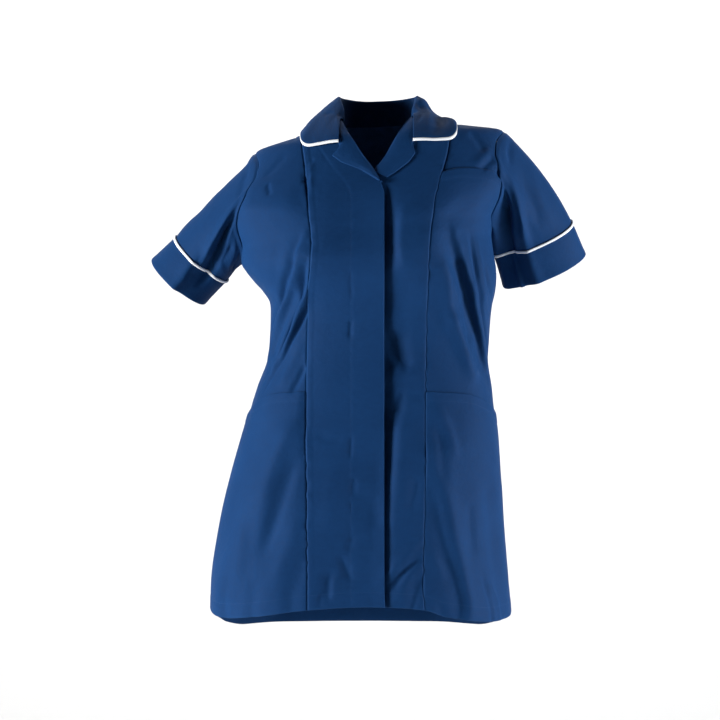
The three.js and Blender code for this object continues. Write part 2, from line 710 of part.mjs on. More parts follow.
// Directions of a sleeve: along the arm, towards its outer edge and towards the front.
function sleeveAxes(sleeve) {
  const out = rad(sleeve.out);
  const back = rad(sleeve.back);
  const axis = new THREE.Vector3(
    sleeve.side * Math.sin(out) * Math.cos(back),
    Math.sin(back),
    -Math.cos(out) * Math.cos(back),
  );
  const outer = new THREE.Vector3(sleeve.side * Math.cos(out), 0, Math.sin(out));
  const front = new THREE.Vector3(0, -1, 0).addScaledVector(axis, axis.y).normalize();
  return { axis, outer, front };
}

// The angle of each loop point round the arm: 0 at the shoulder tip, 180 degrees at the underarm.
function loopAngles(points) {
  const tip = UPPER.length - 1;
  const count = points.length;
  const stretch = (from, to) => {
    let sum = 0;
    for (let k = from; k < to; k += 1) sum += points[k % count].distanceTo(points[(k + 1) % count]);
    return sum;
  };
  const frontLength = stretch(0, tip);
  const backLength = stretch(tip, count);
  return points.map((_, k) =>
    k <= tip ? Math.PI * (1 - stretch(0, k) / frontLength) : -Math.PI * (stretch(tip, k) / backLength),
  );
}

function armRing(sleeve, ringAt, angles, extra = 0) {
  const { outer, front } = sleeveAxes(sleeve);
  return angles.map((angle) =>
    point(ringAt.centre)
      .addScaledVector(outer, (ringAt.half + extra) * Math.cos(angle))
      .addScaledVector(front, (ringAt.depth + extra) * Math.sin(angle)),
  );
}

// All of one sleeve's surfaces: the tube from the armhole to the cuff, the cuff and the cord on their seam.
function sleeveParts(sleeve) {
  const { axis, outer, front } = sleeveAxes(sleeve);
  const loop = armholeLoop(sleeve.side);
  const seam = loop.map(([angle, z]) => body(angle, z));
  const angles = loopAngles(seam);
  const end = armRing(sleeve, sleeve.top, angles);
  const rows = Array.from({ length: SLEEVE_ROWS }, (_, j) => {
    const t = j / (SLEEVE_ROWS - 1);
    return seam.map((p, k) => {
      const swell = 4 * t * (1 - t);
      const top = Math.max(0, Math.cos(angles[k]));
      const under = Math.max(0, -Math.cos(angles[k]));
      return p
        .clone()
        .lerp(end[k], t)
        .addScaledVector(outer, swell * (sleeve.fullness * top + sleeve.hollow * under))
        .addScaledVector(front, FRONT_SWELL * swell * sleeve.fullness * Math.sin(angles[k]));
    });
  });
  const normals = gridNormals(rows, true, outwards(rows));
  // At the armhole both walls are mitred, unless they fold sharply away from each other.
  const mitres = loop.map(([angle, z], k) => {
    const own = bodyNormal(angle, z);
    return own.dot(normals[0][k]) > 0 ? own.add(normals[0][k]).normalize() : null;
  });
  mitres.forEach((m, k) => {
    if (m) normals[0][k] = m;
  });
  rows[0] = rows[0].map((p, k) => p.addScaledVector(end[k].clone().sub(p).normalize(), ARMHOLE_GAP));
  const cuffRows = Array.from({ length: CUFF_ROWS }, (_, j) => {
    const t = j / (CUFF_ROWS - 1);
    const top = armRing(sleeve, sleeve.top, angles, CUFF_LIFT).map((p) => p.addScaledVector(axis, GAP));
    const hem = armRing(sleeve, sleeve.end, angles, CUFF_LIFT);
    return top.map((p, k) => p.clone().lerp(hem[k], t));
  });
  const cuffNormals = gridNormals(cuffRows, true, outwards(cuffRows));
  const cordRing = armRing(sleeve, sleeve.top, angles, CUFF_LIFT + GAP + PIPING_THICKNESS / 2);
  const cord = cordRing.map((centre, k) => {
    const out = outer.clone().multiplyScalar(Math.cos(angles[k]));
    return { centre, out: out.addScaledVector(front, Math.sin(angles[k])), flat: axis };
  });
  const cuff = { points: cuffRows, normals: cuffNormals };
  return { tube: { points: rows, normals }, cuff, cord, mitres };
}

// +1 or -1, so that the normals of a tube point away from its own middle.
function outwards(rows) {
  const trial = gridNormals(rows, true, 1);
  const middle = new THREE.Vector3();
  for (const p of rows[1]) middle.add(p);
  middle.divideScalar(rows[1].length);
  let sum = 0;
  rows[1].forEach((p, k) => {
    sum += trial[1][k].dot(p.clone().sub(middle));
  });
  return Math.sign(sum);
}

const ARMS = { right: sleeveParts(SLEEVES.right), left: sleeveParts(SLEEVES.left) };
const armOf = (side) => (side < 0 ? ARMS.right : ARMS.left);

// Gives the armhole edge of a panel the mitred normals that it shares with the sleeve. The stations of the
// armhole run up the front, so the back meets them in reverse.
function mitreEdge(grid, column, firstRow, side, firstStation, reversed = false) {
  const { mitres } = armOf(side);
  for (let row = firstRow; row < grid.points.length; row += 1) {
    const station = firstStation + row - firstRow;
    const index = reversed ? (mitres.length - station) % mitres.length : station;
    if (mitres[index]) grid.normals[row][column] = mitres[index];
  }
  return grid;
}

// Draws the hem corner of a side front back from the side seam.
function openVent(grid, column, inner) {
  const corner = grid.points[0][column];
  corner.addScaledVector(grid.points[0][inner].clone().sub(corner).normalize(), VENT_GAP);
  return grid;
}

function makeSideFront(name, side) {
  const grid = mitreEdge(raise(sideFront(side)), SIDE_COLUMNS, BODY_ROWS.length, side, 0);
  return shell(name, NAVY, openVent(drawBack(grid), SIDE_COLUMNS, SIDE_COLUMNS - 1));
}

function makeHipPocket(name, side) {
  const { height, from, to } = POCKET_STAND;
  const stand = (z) => height * THREE.MathUtils.smoothstep(z, from, to);
  const grid = raise(hipPocket(side), (_, z) => WALL + POCKET_GAP + stand(z));
  return shell(name, NAVY, openVent(drawBack(grid), SIDE_COLUMNS, SIDE_COLUMNS - 1));
}

function makeYoke() {
  const lipZ = princess(1, MOUTH_ROW)[1];
  const grid = raise(yoke(), (_, z) => -YOKE_DROP * THREE.MathUtils.smoothstep(-z, -NECK_Z, -lipZ));
  return shell("yoke_left", NAVY, drawBack(mitreEdge(grid, SIDE_COLUMNS, 0, 1, YOKE_ROW)));
}

function makeBack() {
  const grid = raise(backPanel());
  const first = BODY_ROWS.length + 1;
  mitreEdge(grid, 0, first, 1, 0, true);
  mitreEdge(grid, BACK_COLUMNS, first, -1, 0, true);
  return shell("back", NAVY, drawBack(grid));
}

// A rever: from its roll line to its outer edge, lying just off the front it belongs to.
const REVER_ROWS = 8;
const REVER_COLUMNS = 4;
const REVER_TOP = 0.93; // the revers stop just short of the collar's ends
const REVER_LOWEST = { right: 0.04, left: 0.24 }; // the left one ends where the right one covers it
function makeRever(name, side) {
  const roll = side < 0 ? ROLL_RIGHT : ROLL_LEFT;
  const outline = side < 0 ? REVER_RIGHT : REVER_LEFT;
  const lowest = side < 0 ? REVER_LOWEST.right : REVER_LOWEST.left;
  const pairs = Array.from({ length: REVER_ROWS + 1 }, (_, j) => {
    const t = j / REVER_ROWS;
    const fold = along(roll, lerp(REVER_TOP, lowest, t));
    const edge = along(outline, t);
    return Array.from({ length: REVER_COLUMNS + 1 }, (_, i) => {
      const u = i / REVER_COLUMNS;
      const z = lerp(fold.z, edge.z, u);
      return [angleAt(lerp(fold.x, edge.x, u), z), z, u];
    });
  });
  const normals = pairs.map((row) => row.map(([angle, z]) => bodyNormal(angle, z)));
  const frontLift = overlapLift(side);
  const points = pairs.map((row, j) =>
    row.map(([angle, z, u], i) => {
      const arch = 4 * u * (1 - u);
      const air = lerp(lerp(REVER_LIFT.fold, REVER_LIFT.edge, u), REVER_LIFT.middle, arch);
      return body(angle, z).addScaledVector(normals[j][i], frontLift(angle, z) + WALL + air);
    }),
  );
  return shell(name, NAVY, { points, normals });
}

// The collar's stations from the right front end round the back to the left one.
function collarStations() {
  const right = COLLAR.map((row) => ({ ...row, side: -1 }));
  const left = COLLAR.slice(0, -1).map((row) => ({ ...row, side: 1 })).reverse();
  return [...right, ...left].map((row) => {
    const rim = body(row.side * rad(row.angle), NECK_Z);
    const out = new THREE.Vector3(rim.x, rim.y, 0).normalize();
    const base = rim.clone().addScaledVector(out, -COLLAR_WALL - COLLAR_SEAM);
    base.z -= COLLAR_TUCK;
    const crest = NECK_Z + row.roll + rim.x * ROLL_SLOPE;
    const tip = new THREE.Vector3(row.side * row.x, row.y, row.z + row.side * row.x * row.slope);
    return { base, out, crest, tip };
  });
}

// One section of the collar: up the stand, over the roll and down the fall to the outer edge.
const STAND_STEPS = 3;
const FALL_STEPS = 5;
function collarSection({ base, out, crest, tip }) {
  const height = crest - base.z - COLLAR_TUCK;
  const radius = Math.min(ROLL_RADIUS, (height + COLLAR_TUCK) / 2);
  const shoulder = base.clone().setZ(base.z + COLLAR_TUCK + Math.max(height - radius, LOWEST_STAND));
  const crown = shoulder.clone().addScaledVector(out, radius * ROLL_SPREAD);
  crown.z += radius;
  const section = [];
  for (let k = 0; k < STAND_STEPS; k += 1) {
    section.push(base.clone().lerp(shoulder, k / (STAND_STEPS - 1)));
  }
  section.push(crown);
  const bow = crown.clone().lerp(tip, FALL_BOW.at).addScaledVector(out, FALL_BOW.out);
  bow.z += FALL_BOW.up;
  const fall = new THREE.QuadraticBezierCurve3(crown, bow, tip);
  for (let k = 1; k <= FALL_STEPS; k += 1) {
    const t = k / FALL_STEPS;
    section.push(clearOfBody(fall.getPoint(t), COLLAR_CLEARANCE));
  }
  return section;
}

function makeCollar() {
  const stations = collarStations();
  const points = stations.map(collarSection);
  const normals = gridNormals(points, false, 1);
  const middle = points[COLLAR.length - 1];
  const sign = normals[COLLAR.length - 1][middle.length - 1].y > 0 ? 1 : -1;
  for (const n of normals.flat()) n.multiplyScalar(sign);
  const collar = shell("collar", NAVY, { points, normals }, COLLAR_WALL);
  const last = middle.length - 1;
  const cord = stations.map((_, j) => {
    const flat = points[j][last].clone().sub(points[j][last - 1]).normalize();
    const out = normals[j][last];
    const centre = points[j][last]
      .clone()
      .addScaledVector(flat, GAP + PIPING_WIDTH / 2)
      .addScaledVector(out, -COLLAR_WALL / 2);
    return { centre: clearOfBody(centre, PIPING_WIDTH / 2 + PIPING_CLEARANCE), out, flat };
  });
  return [collar, piping("piping_collar", cord, false)];
}

const tunic = new THREE.Group();
tunic.name = "medical_tunic";
tunic.add(shell("front_right", NAVY, drawBack(raise(centreFront(-1), overlapLift(-1)))));
tunic.add(shell("front_left", NAVY, drawBack(raise(centreFront(1), overlapLift(1)))));
tunic.add(makeSideFront("side_front_right", -1));
tunic.add(makeSideFront("side_front_left", 1));
tunic.add(makeYoke());
tunic.add(makeHipPocket("hip_pocket_right", -1));
tunic.add(makeHipPocket("hip_pocket_left", 1));
tunic.add(makeBack());
for (const [name, arm] of Object.entries(ARMS)) {
  tunic.add(shell("sleeve_" + name, NAVY, arm.tube, WALL, true));
  tunic.add(shell("cuff_" + name, NAVY, arm.cuff, WALL, true));
  tunic.add(piping("piping_cuff_" + name, arm.cord, true));
}
tunic.add(makeRever("lapel_right", -1));
tunic.add(makeRever("lapel_left", 1));
tunic.add(...makeCollar());

export default tunic;
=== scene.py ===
# Medical tunic in its worn shape: panels, revers, collar, sleeves, pockets and piping as fine cloth, with the
# folds, seams and stitching of a pressed polyester-cotton work tunic. Lengths are in millimetres until a mesh
# is made. Side -1 is the wearer's right and side 1 the left.
import math

import bpy
import numpy as np
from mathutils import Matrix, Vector


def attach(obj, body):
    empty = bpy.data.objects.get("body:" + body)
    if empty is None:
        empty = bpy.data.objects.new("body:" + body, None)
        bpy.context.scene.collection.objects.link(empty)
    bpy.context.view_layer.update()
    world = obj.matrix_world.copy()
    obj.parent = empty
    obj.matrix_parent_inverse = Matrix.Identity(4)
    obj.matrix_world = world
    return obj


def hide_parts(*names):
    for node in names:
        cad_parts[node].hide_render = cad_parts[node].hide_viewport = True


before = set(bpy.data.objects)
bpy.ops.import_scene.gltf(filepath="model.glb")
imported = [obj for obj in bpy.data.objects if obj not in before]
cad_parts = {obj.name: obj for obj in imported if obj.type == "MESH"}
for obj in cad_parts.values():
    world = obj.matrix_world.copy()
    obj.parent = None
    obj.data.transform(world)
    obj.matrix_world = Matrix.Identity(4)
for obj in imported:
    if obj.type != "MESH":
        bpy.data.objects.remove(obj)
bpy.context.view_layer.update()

MM = 0.001
SIDES = {"right": -1, "left": 1}
SQUARENESS = 2.4  # exponent of the rings round the body: 2 is an ellipse
FRONT_EDGE = {-1: 8, 1: -27}  # x of each front's edge; the right front lies on top
BREAK_Z = -96  # where the revers start to roll
UNDERARM_Z = -180
LEVEL_Z = -690  # rows are level from here up, and follow the hem below
NECK_Z = 14
SHOULDER_TIP_Z = -18
BACK_SHOULDER_SHARE = 0.28  # of the back's top edge, for each shoulder
ROLL_SHARE = 0.8  # of a front's slanting edge; the rest runs on under the collar
FOLD_RADIUS = 150  # turns angles round the body into lengths
OVERLAP_LIFT = 1.2
OVERLAP_DROP = 2.4
OVERLAP_BLEND = 60
YOKE_DROP = 2.2
POCKET_LIFT = 1.5
PIPING_WIDTH = 4.4
PIPING_THICKNESS = 2.8
CUFF_LIFT = 0.8
BUST = {"depth": 14, "width": 52, "height": 60, "z": -190, "apexes": (-88, 70)}


def table(columns, *rows):
    """A table with named columns, each one an array."""
    return {name: np.array([row[i] for row in rows], float) for i, name in enumerate(columns.split())}


# Rings round the body from below the hem to the neck.
RINGS = table(
    "z centre half front back slope",
    (-790, -27, 231, 140, 136, 0),
    (-750, -27, 231, 140, 135, 0),
    (-690, -28.5, 228, 138, 133, 0),
    (-614, -26, 219, 134, 129, 0),
    (-540, -20, 209, 128, 125, 0),
    (-455, -11, 193, 117, 116, 0),
    (-400, -6, 182, 110, 107, 0),
    (-345, 0.5, 170, 105, 98, 0),
    (-310, 3, 170, 107, 97, 0.015),
    (-280, 5, 171, 112, 98, 0.03),
    (-260, 7, 174, 117, 100, 0.045),
    (-240, 3, 180, 122, 103, 0.06),
    (-220, -5, 186, 126, 106, 0.08),
    (-200, -13, 190, 127, 109, 0.1),
    (-180, -18, 193, 125, 110, 0.12),
    (-160, -18, 195, 122, 111, 0.12),
    (-140, -17, 206, 120, 111, 0.12),
    (-120, -15, 219, 117, 110, 0.115),
    (-100, -12, 227, 112, 107, 0.11),
    (-80, -8, 228, 105, 102, 0.105),
    (-60, -4, 219, 98, 96, 0.1),
    (-40, -1, 206, 91, 90, 0.095),
    (-18, 2, 190, 82, 82, 0.085),
    (-6, 1, 140, 74, 74, 0.075),
    (4, 0, 98, 67, 67, 0.06),
    (14, 0, 62, 60, 60, 0.045),
    (24, 0, 56, 57, 58, 0.03),
)
# Largest folds: from (angle, z) to (angle, z), half width and height.
FOLDS = [
    (-24, -190, -42, -264, 13, 3),
    (-42, -264, -63, -358, 13, 4),
    (-46, -250, -68, -340, 11, -4),
    (-60, -262, -76, -350, 12, 3.5),
    (28, -231, 35, -300, 13, 3),
    (35, -300, 54, -375, 13, 4),
    (38, -225, 50, -318, 11, -3),
    (48, -255, 72, -360, 12, 3.5),
    (7, -240, 9, -440, 14, -3.5),
    (26, -499, 41, -735, 22, 5),
    (60, -560, 66, -740, 18, -4),
    (-35, -470, -62, -700, 24, 4),
    (146, -210, 124, -330, 14, 4),
    (132, -230, 112, -350, 12, -4),
    (-150, -215, -120, -345, 14, 4),
    (-128, -240, -108, -350, 12, -4),
    (158, -470, 150, -775, 24, 6),
    (118, -500, 112, -760, 20, -4),
    (-162, -450, -148, -775, 26, 6),
    (-116, -480, -110, -750, 20, -4),
]
PRINCESS = {
    -1: table("z x", (-790, -105), (-550, -108), (-400, -109), (-262, -106), (-180, -100), (-122, -105),
              (-57, -111), (-20, -116), (14, -120)),
    1: table("z x", (-790, 63), (-637, 67), (-371, 71), (-204, 75), (-132, 83), (-85, 95), (-51, 104),
             (14, 112)),
}

# Stations up the long seams above the underarm: heights on the princess seam and on the armhole, and the
# angles of the armhole from the centre front and the centre back.
UPPER = table(
    "princess armhole front back",
    (-180, UNDERARM_Z, 90, 90),
    (-160, -168, 80, 79),
    (-138, -152, 74, 71),
    (-117, -134, 69, 65),
    (BREAK_Z, -114, 62, 59),
    (-84, -102, 58, 56),
    (-68, -84, 54, 53),
    (-50, -66, 53, 53),
    (-34, -50, 56, 56),
    (-19, -36, 62, 62),
    (-9, -25, 73, 73),
    (0, SHOULDER_TIP_Z, 90, 90),
)
BREAK_STATION = 4
MOUTH_STATION = 5
YOKE_STATION = 3.6  # the yoke reaches down behind the pocket's mouth to here
LAST_STATION = 11

ROLL = {
    -1: table("x z", (5, -96), (-8, -72), (-24, -48), (-36, -28), (-47, -9), (-56, 10)),
    1: table("x z", (-20, -96), (-8, -74), (9, -54), (23, -30), (38, -6), (50, 10)),
}
REVER = {
    -1: table("x z", (-67, -8), (-58, -31), (-70, -43), (-56, -55), (-28, -69), (5, -94)),
    1: table("x z", (62, -12), (51, -36), (55, -52), (45, -65), (24, -79), (12, -85)),
}
FRONT_HEM = table("angle z", (-90, -734), (-79, -741), (-62, -745), (-38, -738), (-16, -726), (3, -721),
                  (20, -726), (30, -738), (63, -750), (79, -747), (90, -738))
BACK_HEM = table("angle z", (0, -780), (50, -779), (64, -772), (78, -758), (90, -745))
CHEST_MOUTH = table("x z", (95, -84), (122, -80), (152, -83), (176, -91), (187, -102))
HIP_MOUTH = table("share z", (0, -403), (0.35, -407), (0.7, -424), (1, -446))

# How far each sleeve leans out and back, in degrees; its rings at the cuff seam and at the cuff's end, as
# centre, half width and half depth; how full it is above and below; and where its unevenness starts.
SLEEVES = {
    -1: {"out": 42, "back": 12, "top": ((-276, 25, -198), 52, 54), "end": ((-313, 36, -233), 53.5, 56),
         "fullness": 5, "hollow": 1, "seed": 900},
    1: {"out": 23, "back": 25, "top": ((243, 32, -165), 66, 38), "end": ((263.5, 56, -214.5), 69.5, 37),
        "fullness": 9, "hollow": 2, "seed": 400},
}

# Half of the collar from its front end to the centre back.
COLLAR = table(
    "angle roll x y z slope",
    (52, 3, 62, -85, -27, 0),
    (58, 14, 82, -84, -27, 0.02),
    (67, 25, 103, -77, -29, 0.04),
    (76, 33, 115, -64, -22, 0.05),
    (88, 39, 118, -38, -7, 0.06),
    (105, 41, 114, 4, 4, 0.06),
    (128, 41, 99, 48, 5, 0.05),
    (154, 40, 56, 78, -1, 0.03),
    (180, 39, 0, 86, -3, 0),
)
COLLAR_END_SHIFT = {0: 2, -1: -11, -2: -5}  # how far the first and last stations' x differ from an even cut
COLLAR_END_OUT = (6.5, 3)  # how far its ends lie out over the revers, on the wearer's right and left
COLLAR_END_DROP = 3
COLLAR_WALL = 2
COLLAR_TUCK = 2.5
COLLAR_SEAM = 2.3
COLLAR_CLEAR = 4.2  # between the fall and the shoulders, and how much more at the front ends
COLLAR_CLEAR_ENDS = 2.6
ROLL_SLOPE = 0.012
ROLL_RADIUS = 4
ROLL_SPREAD = 0.8


# ---- interpolation ----
def smooth(xs, ys, at):
    """Monotone cubic interpolation without overshoot."""
    steps = np.diff(xs)
    rises = np.diff(ys) / steps
    slopes = np.zeros(len(xs))
    slopes[0], slopes[-1] = rises[0], rises[-1]
    for i in range(1, len(xs) - 1):
        if rises[i - 1] * rises[i] > 0:
            before = 2 * steps[i] + steps[i - 1]
            after = steps[i] + 2 * steps[i - 1]
            slopes[i] = (before + after) / (before / rises[i - 1] + after / rises[i])
    x = np.clip(at, xs[0], xs[-1])
    i = np.clip(np.searchsorted(xs, x, side="right") - 1, 0, len(steps) - 1)
    t = (x - xs[i]) / steps[i]
    return (
        ys[i] * (1 + 2 * t) * (1 - t) ** 2
        + steps[i] * slopes[i] * t * (1 - t) ** 2
        + ys[i + 1] * t * t * (3 - 2 * t)
        + steps[i] * slopes[i + 1] * t * t * (t - 1)
    )


def along(rows, t):
    """A table of points read as one smooth curve, t from 0 to 1."""
    return {name: smooth(np.linspace(0, 1, len(values)), values, t) for name, values in rows.items()}


def step(x, low, high):
    """Rises softly from 0 at low to 1 at high."""
    t = np.clip((x - low) / (high - low), 0, 1)
    return t * t * (3 - 2 * t)


def bell(x, width):
    """A bump of height 1 round 0."""
    return np.exp(-((x / width) ** 2))


def unit(v):
    return v / np.maximum(np.linalg.norm(v, axis=-1, keepdims=True), 1e-9)


def lerp(a, b, t):
    return a + (b - a) * t


def signed(degrees):
    """An angle brought between -180 and 180 degrees."""
    return (degrees + 180) % 360 - 180


def lengths_along(line):
    """The length from the start of a line of points to each of them."""
    return np.concatenate([[0], np.cumsum(np.linalg.norm(np.diff(line, axis=0), axis=1))])


# ---- noise ----
NOISE_CELLS = 64


class Noise:
    """Smooth value noise over the plane with cells of a given size, between -1 and 1."""

    def __init__(self, seed, cell):
        self.values = np.random.default_rng(seed).uniform(-1, 1, (NOISE_CELLS, NOISE_CELLS))
        self.cell = np.broadcast_to(np.asarray(cell, float), (2,))

    def __call__(self, x, y=0.0):
        u, v = np.broadcast_arrays(x / self.cell[0], y / self.cell[1])
        i, j = np.floor(u).astype(int), np.floor(v).astype(int)
        s, t = step(u - i, 0, 1), step(v - j, 0, 1)
        low = lerp(self.at(i, j), self.at(i + 1, j), s)
        high = lerp(self.at(i, j + 1), self.at(i + 1, j + 1), s)
        return lerp(low, high, t)

    def at(self, i, j):
        return self.values[i % NOISE_CELLS, j % NOISE_CELLS]


BROAD = Noise(3, (70, 120))
MIDDLE = Noise(5, (26, 44))
FINE = Noise(8, (10, 15))
WANDER = Noise(11, 34)
PUCKER = Noise(17, (9, 1e6))
PUCKER_STRENGTH = Noise(19, (47, 1e6))


# ---- the body surface ----
def ring(z):
    """The centre, half width, depths and slope of the ring at a height."""
    return [smooth(RINGS["z"], RINGS[name], z) for name in ("centre", "half", "front", "back", "slope")]


def fold_height(angle, z):
    """The largest folds: soft ridges and troughs along straight lines."""
    turn = np.degrees(angle)
    total = np.zeros(np.broadcast(angle, z).shape)
    for start, low, end, high, width, height in FOLDS:
        across = np.radians(signed(turn - start)) * FOLD_RADIUS
        up = z - low
        reach, rise = math.radians(end - start) * FOLD_RADIUS, high - low
        t = np.clip((across * reach + up * rise) / (reach**2 + rise**2), 0, 1)
        total += height * bell(np.hypot(across - t * reach, up - t * rise), width)
    return total


def body(angle, z):
    """The body surface: angle 0 is the centre front, 90 degrees the wearer's left side."""
    centre, half, front, back, slope = ring(z)
    sine, cosine = np.sin(angle), np.cos(angle)
    x = centre + half * np.sign(sine) * np.abs(sine) ** (2 / SQUARENESS)
    through = np.abs(cosine) ** (2 / SQUARENESS)
    full = sum(bell(x - a, BUST["width"]) * bell(z - BUST["z"], BUST["height"]) for a in BUST["apexes"])
    y = np.where(cosine > 0, -(front + BUST["depth"] * full) * through, back * through)
    fold = fold_height(angle, z)
    return np.stack([x + fold * sine, y - fold * cosine, z + x * slope], -1)


def body_normal(angle, z, turn=0.02, rise=1.0):
    """The way out of the body surface, from places a little to each side."""
    around = body(angle + turn, z) - body(angle - turn, z)
    up = body(angle, z + rise) - body(angle, z - rise)
    return unit(np.cross(around, up))


def angle_at(x, z):
    """The angle of a place on the front, from its x."""
    centre, half, *_ = ring(z)
    share = np.clip((x - centre) / half, -1, 1)
    return np.sign(share) * np.arcsin(np.abs(share) ** (SQUARENESS / 2))


def ring_height(points):
    """The height of the ring that each point belongs to, without the rings' slope."""
    return points[..., 2] - points[..., 0] * ring(points[..., 2])[4]


def normal_near(points):
    """The body's normal beside each point, in front or behind."""
    z = ring_height(points)
    turn = angle_at(points[..., 0], z)
    return body_normal(np.where(points[..., 1] < 0, turn, math.pi - turn), z)


def clear_of_body(points, clearance, pace=0.25, tries=160):
    """Moves points straight out, a small pace at a time, until they are clear of the body surface."""
    normal = normal_near(points)
    points = points.copy()
    for _ in range(tries):
        probe = points - normal * clearance
        centre, half, front, back, _slope = ring(ring_height(probe))
        depth = np.where(probe[..., 1] < 0, front, back)
        wide, deep = np.abs(probe[..., 0] - centre) / half, np.abs(probe[..., 1]) / depth
        inside = wide**SQUARENESS + deep**SQUARENESS < 1
        if not inside.any():
            break
        points[inside] += normal[inside] * pace
    return points


def shoulder_z(x):
    """How high the shoulder line lies at a given x."""
    low, high = SHOULDER_TIP_Z, NECK_Z
    for _ in range(40):
        middle = (low + high) / 2
        centre, half, *_ = ring(middle)
        if half + np.sign(x) * centre > abs(x):
            low = middle
        else:
            high = middle
    return low


# The hollow beside the front edge: how deep it is and how far it reaches from the edge.
EDGE_HOLLOW = table(
    "z depth reach",
    (-790, 1.5, 8),
    (-690, 3, 9),
    (-600, 4.5, 10),
    (-545, 5.5, 12),
    (-500, 8, 16),
    (-440, 9, 17),
    (-405, 7, 13),
    (-385, 5, 12),
    (-350, 9, 20),
    (-320, 8, 14),
    (-298, 5, 11),
    (-262, 7.5, 14),
    (-238, 5.5, 12),
    (-190, 7.5, 17),
    (-140, 6, 15),
    (-112, 3, 11),
    (-92, 0, 8),
)

# ---- creases ----
# Each crease is a soft ridge (or trough, if its height is negative) along places given as angle and height,
# with its half widths on the side of smaller and of larger angles. Uneven, as pressed cloth falls.
SIDE_CREASES = [
    # the wearer's right side of the waist
    (-6.5, 8, 2.6, [(-22.6, -140), (-35.2, -206), (-55.2, -252), (-65.6, -280), (-76, -318), (-84, -352)]),
    (2.6, 3, 8, [(-22, -140), (-33.6, -208), (-53.2, -253), (-61.6, -283), (-69.2, -319)]),
    (-8, 9, 3, [(-20.6, -176), (-33.6, -235), (-44.8, -274), (-52, -313), (-60.8, -350), (-72, -392)]),
    (3.6, 4, 9, [(-21.2, -200), (-34.8, -248), (-43.6, -288), (-50.8, -326), (-57.6, -366), (-63.6, -396)]),
    (-6.5, 7, 2.8, [(-31.5, -250), (-35, -272), (-41, -300), (-47.6, -326), (-53.2, -352), (-60.8, -384),
                    (-66.8, -412)]),
    (2.0, 8, 10, [(-40, -318), (-43.6, -344), (-47.2, -379), (-49.2, -404)]),
    (-3.4, 6, 5, [(-35.4, -358), (-37.2, -390), (-40, -410)]),
    (-1.2, 9, 9, [(-37.6, -152), (-42, -193), (-61.6, -241)]),
    # the wearer's left side of the waist
    (4.5, 13, 8, [(30.8, -196), (28.8, -250), (32.8, -288), (39.2, -319), (46.8, -356), (53.6, -402)]),
    (-8, 15, 6, [(34, -150), (37.8, -208), (40.8, -244), (46, -271), (52.4, -298), (60.8, -334),
                 (70.4, -374), (75.6, -402)]),
    (3.2, 4, 5, [(41.2, -196), (44.6, -244), (50.2, -277), (58.6, -313), (67, -348)]),
    (-6.0, 6, 3.5, [(51.2, -170), (50.8, -211), (51.8, -244), (58.8, -277), (70, -319), (80, -352)]),
    (1.5, 4, 5, [(56.4, -175), (56, -208), (57.6, -252), (72, -292)]),
    (-3.4, 4, 3, [(58.2, -222), (64.4, -252), (74.8, -268)]),
    (1.4, 4, 6, [(38.4, -166), (40.8, -190), (42, -212)]),
    # the skirt on the wearer's left
    (2.6, 9, 7, [(24.4, -418), (28.4, -436), (33.2, -469), (36, -514)]),
    (-2.6, 7, 6, [(23.2, -445), (26.8, -469), (28.4, -508), (30, -548)]),
    (3.2, 8, 10, [(25.6, -493), (28, -534), (31.2, -571), (33.6, -608), (36, -648), (38, -684),
                  (39.6, -722), (39.6, -790)]),
    (-4.2, 12, 6, [(22.8, -518), (25.2, -564), (28, -608), (31.2, -652), (34, -691), (35.6, -730),
                   (35.6, -790)]),
    (-2.2, 6, 6, [(24.4, -704), (26, -720), (26.8, -733), (26.8, -790)]),
    (1.4, 5, 5, [(24, -640), (26.4, -661), (28, -688)]),
    (-2.2, 5, 3, [(49.6, -664), (51.6, -691), (55.2, -721), (56, -740), (56, -790)]),
    (1.8, 4, 6, [(54, -674), (57.6, -698), (63.6, -726), (63.6, -790)]),
    (-1.8, 8, 8, [(43.2, -562), (44, -610), (45.2, -655)]),
    # the skirt on the wearer's right
    (2.8, 13, 11, [(-31.6, -420), (-34.8, -472), (-38.8, -517), (-40, -565), (-40, -618), (-41.2, -662)]),
    (-3.4, 12, 8, [(-26, -484), (-28.4, -520), (-30, -554), (-32, -594), (-35.2, -632), (-37.2, -668)]),
    (2.4, 10, 10, [(-22, -578), (-24, -622), (-27.2, -661), (-30.4, -697)]),
    (-2.8, 10, 8, [(-18.4, -634), (-19.6, -673), (-21.6, -710), (-21.6, -790)]),
    (-1.8, 9, 9, [(-38, -674), (-39.6, -698), (-40.8, -722), (-40.8, -790)]),
    (-2.4, 9, 9, [(-54.8, -666), (-56.8, -692), (-59.6, -718), (-59.6, -790)]),
    (1.6, 10, 10, [(-50.8, -596), (-49.6, -649), (-49.2, -700)]),
]
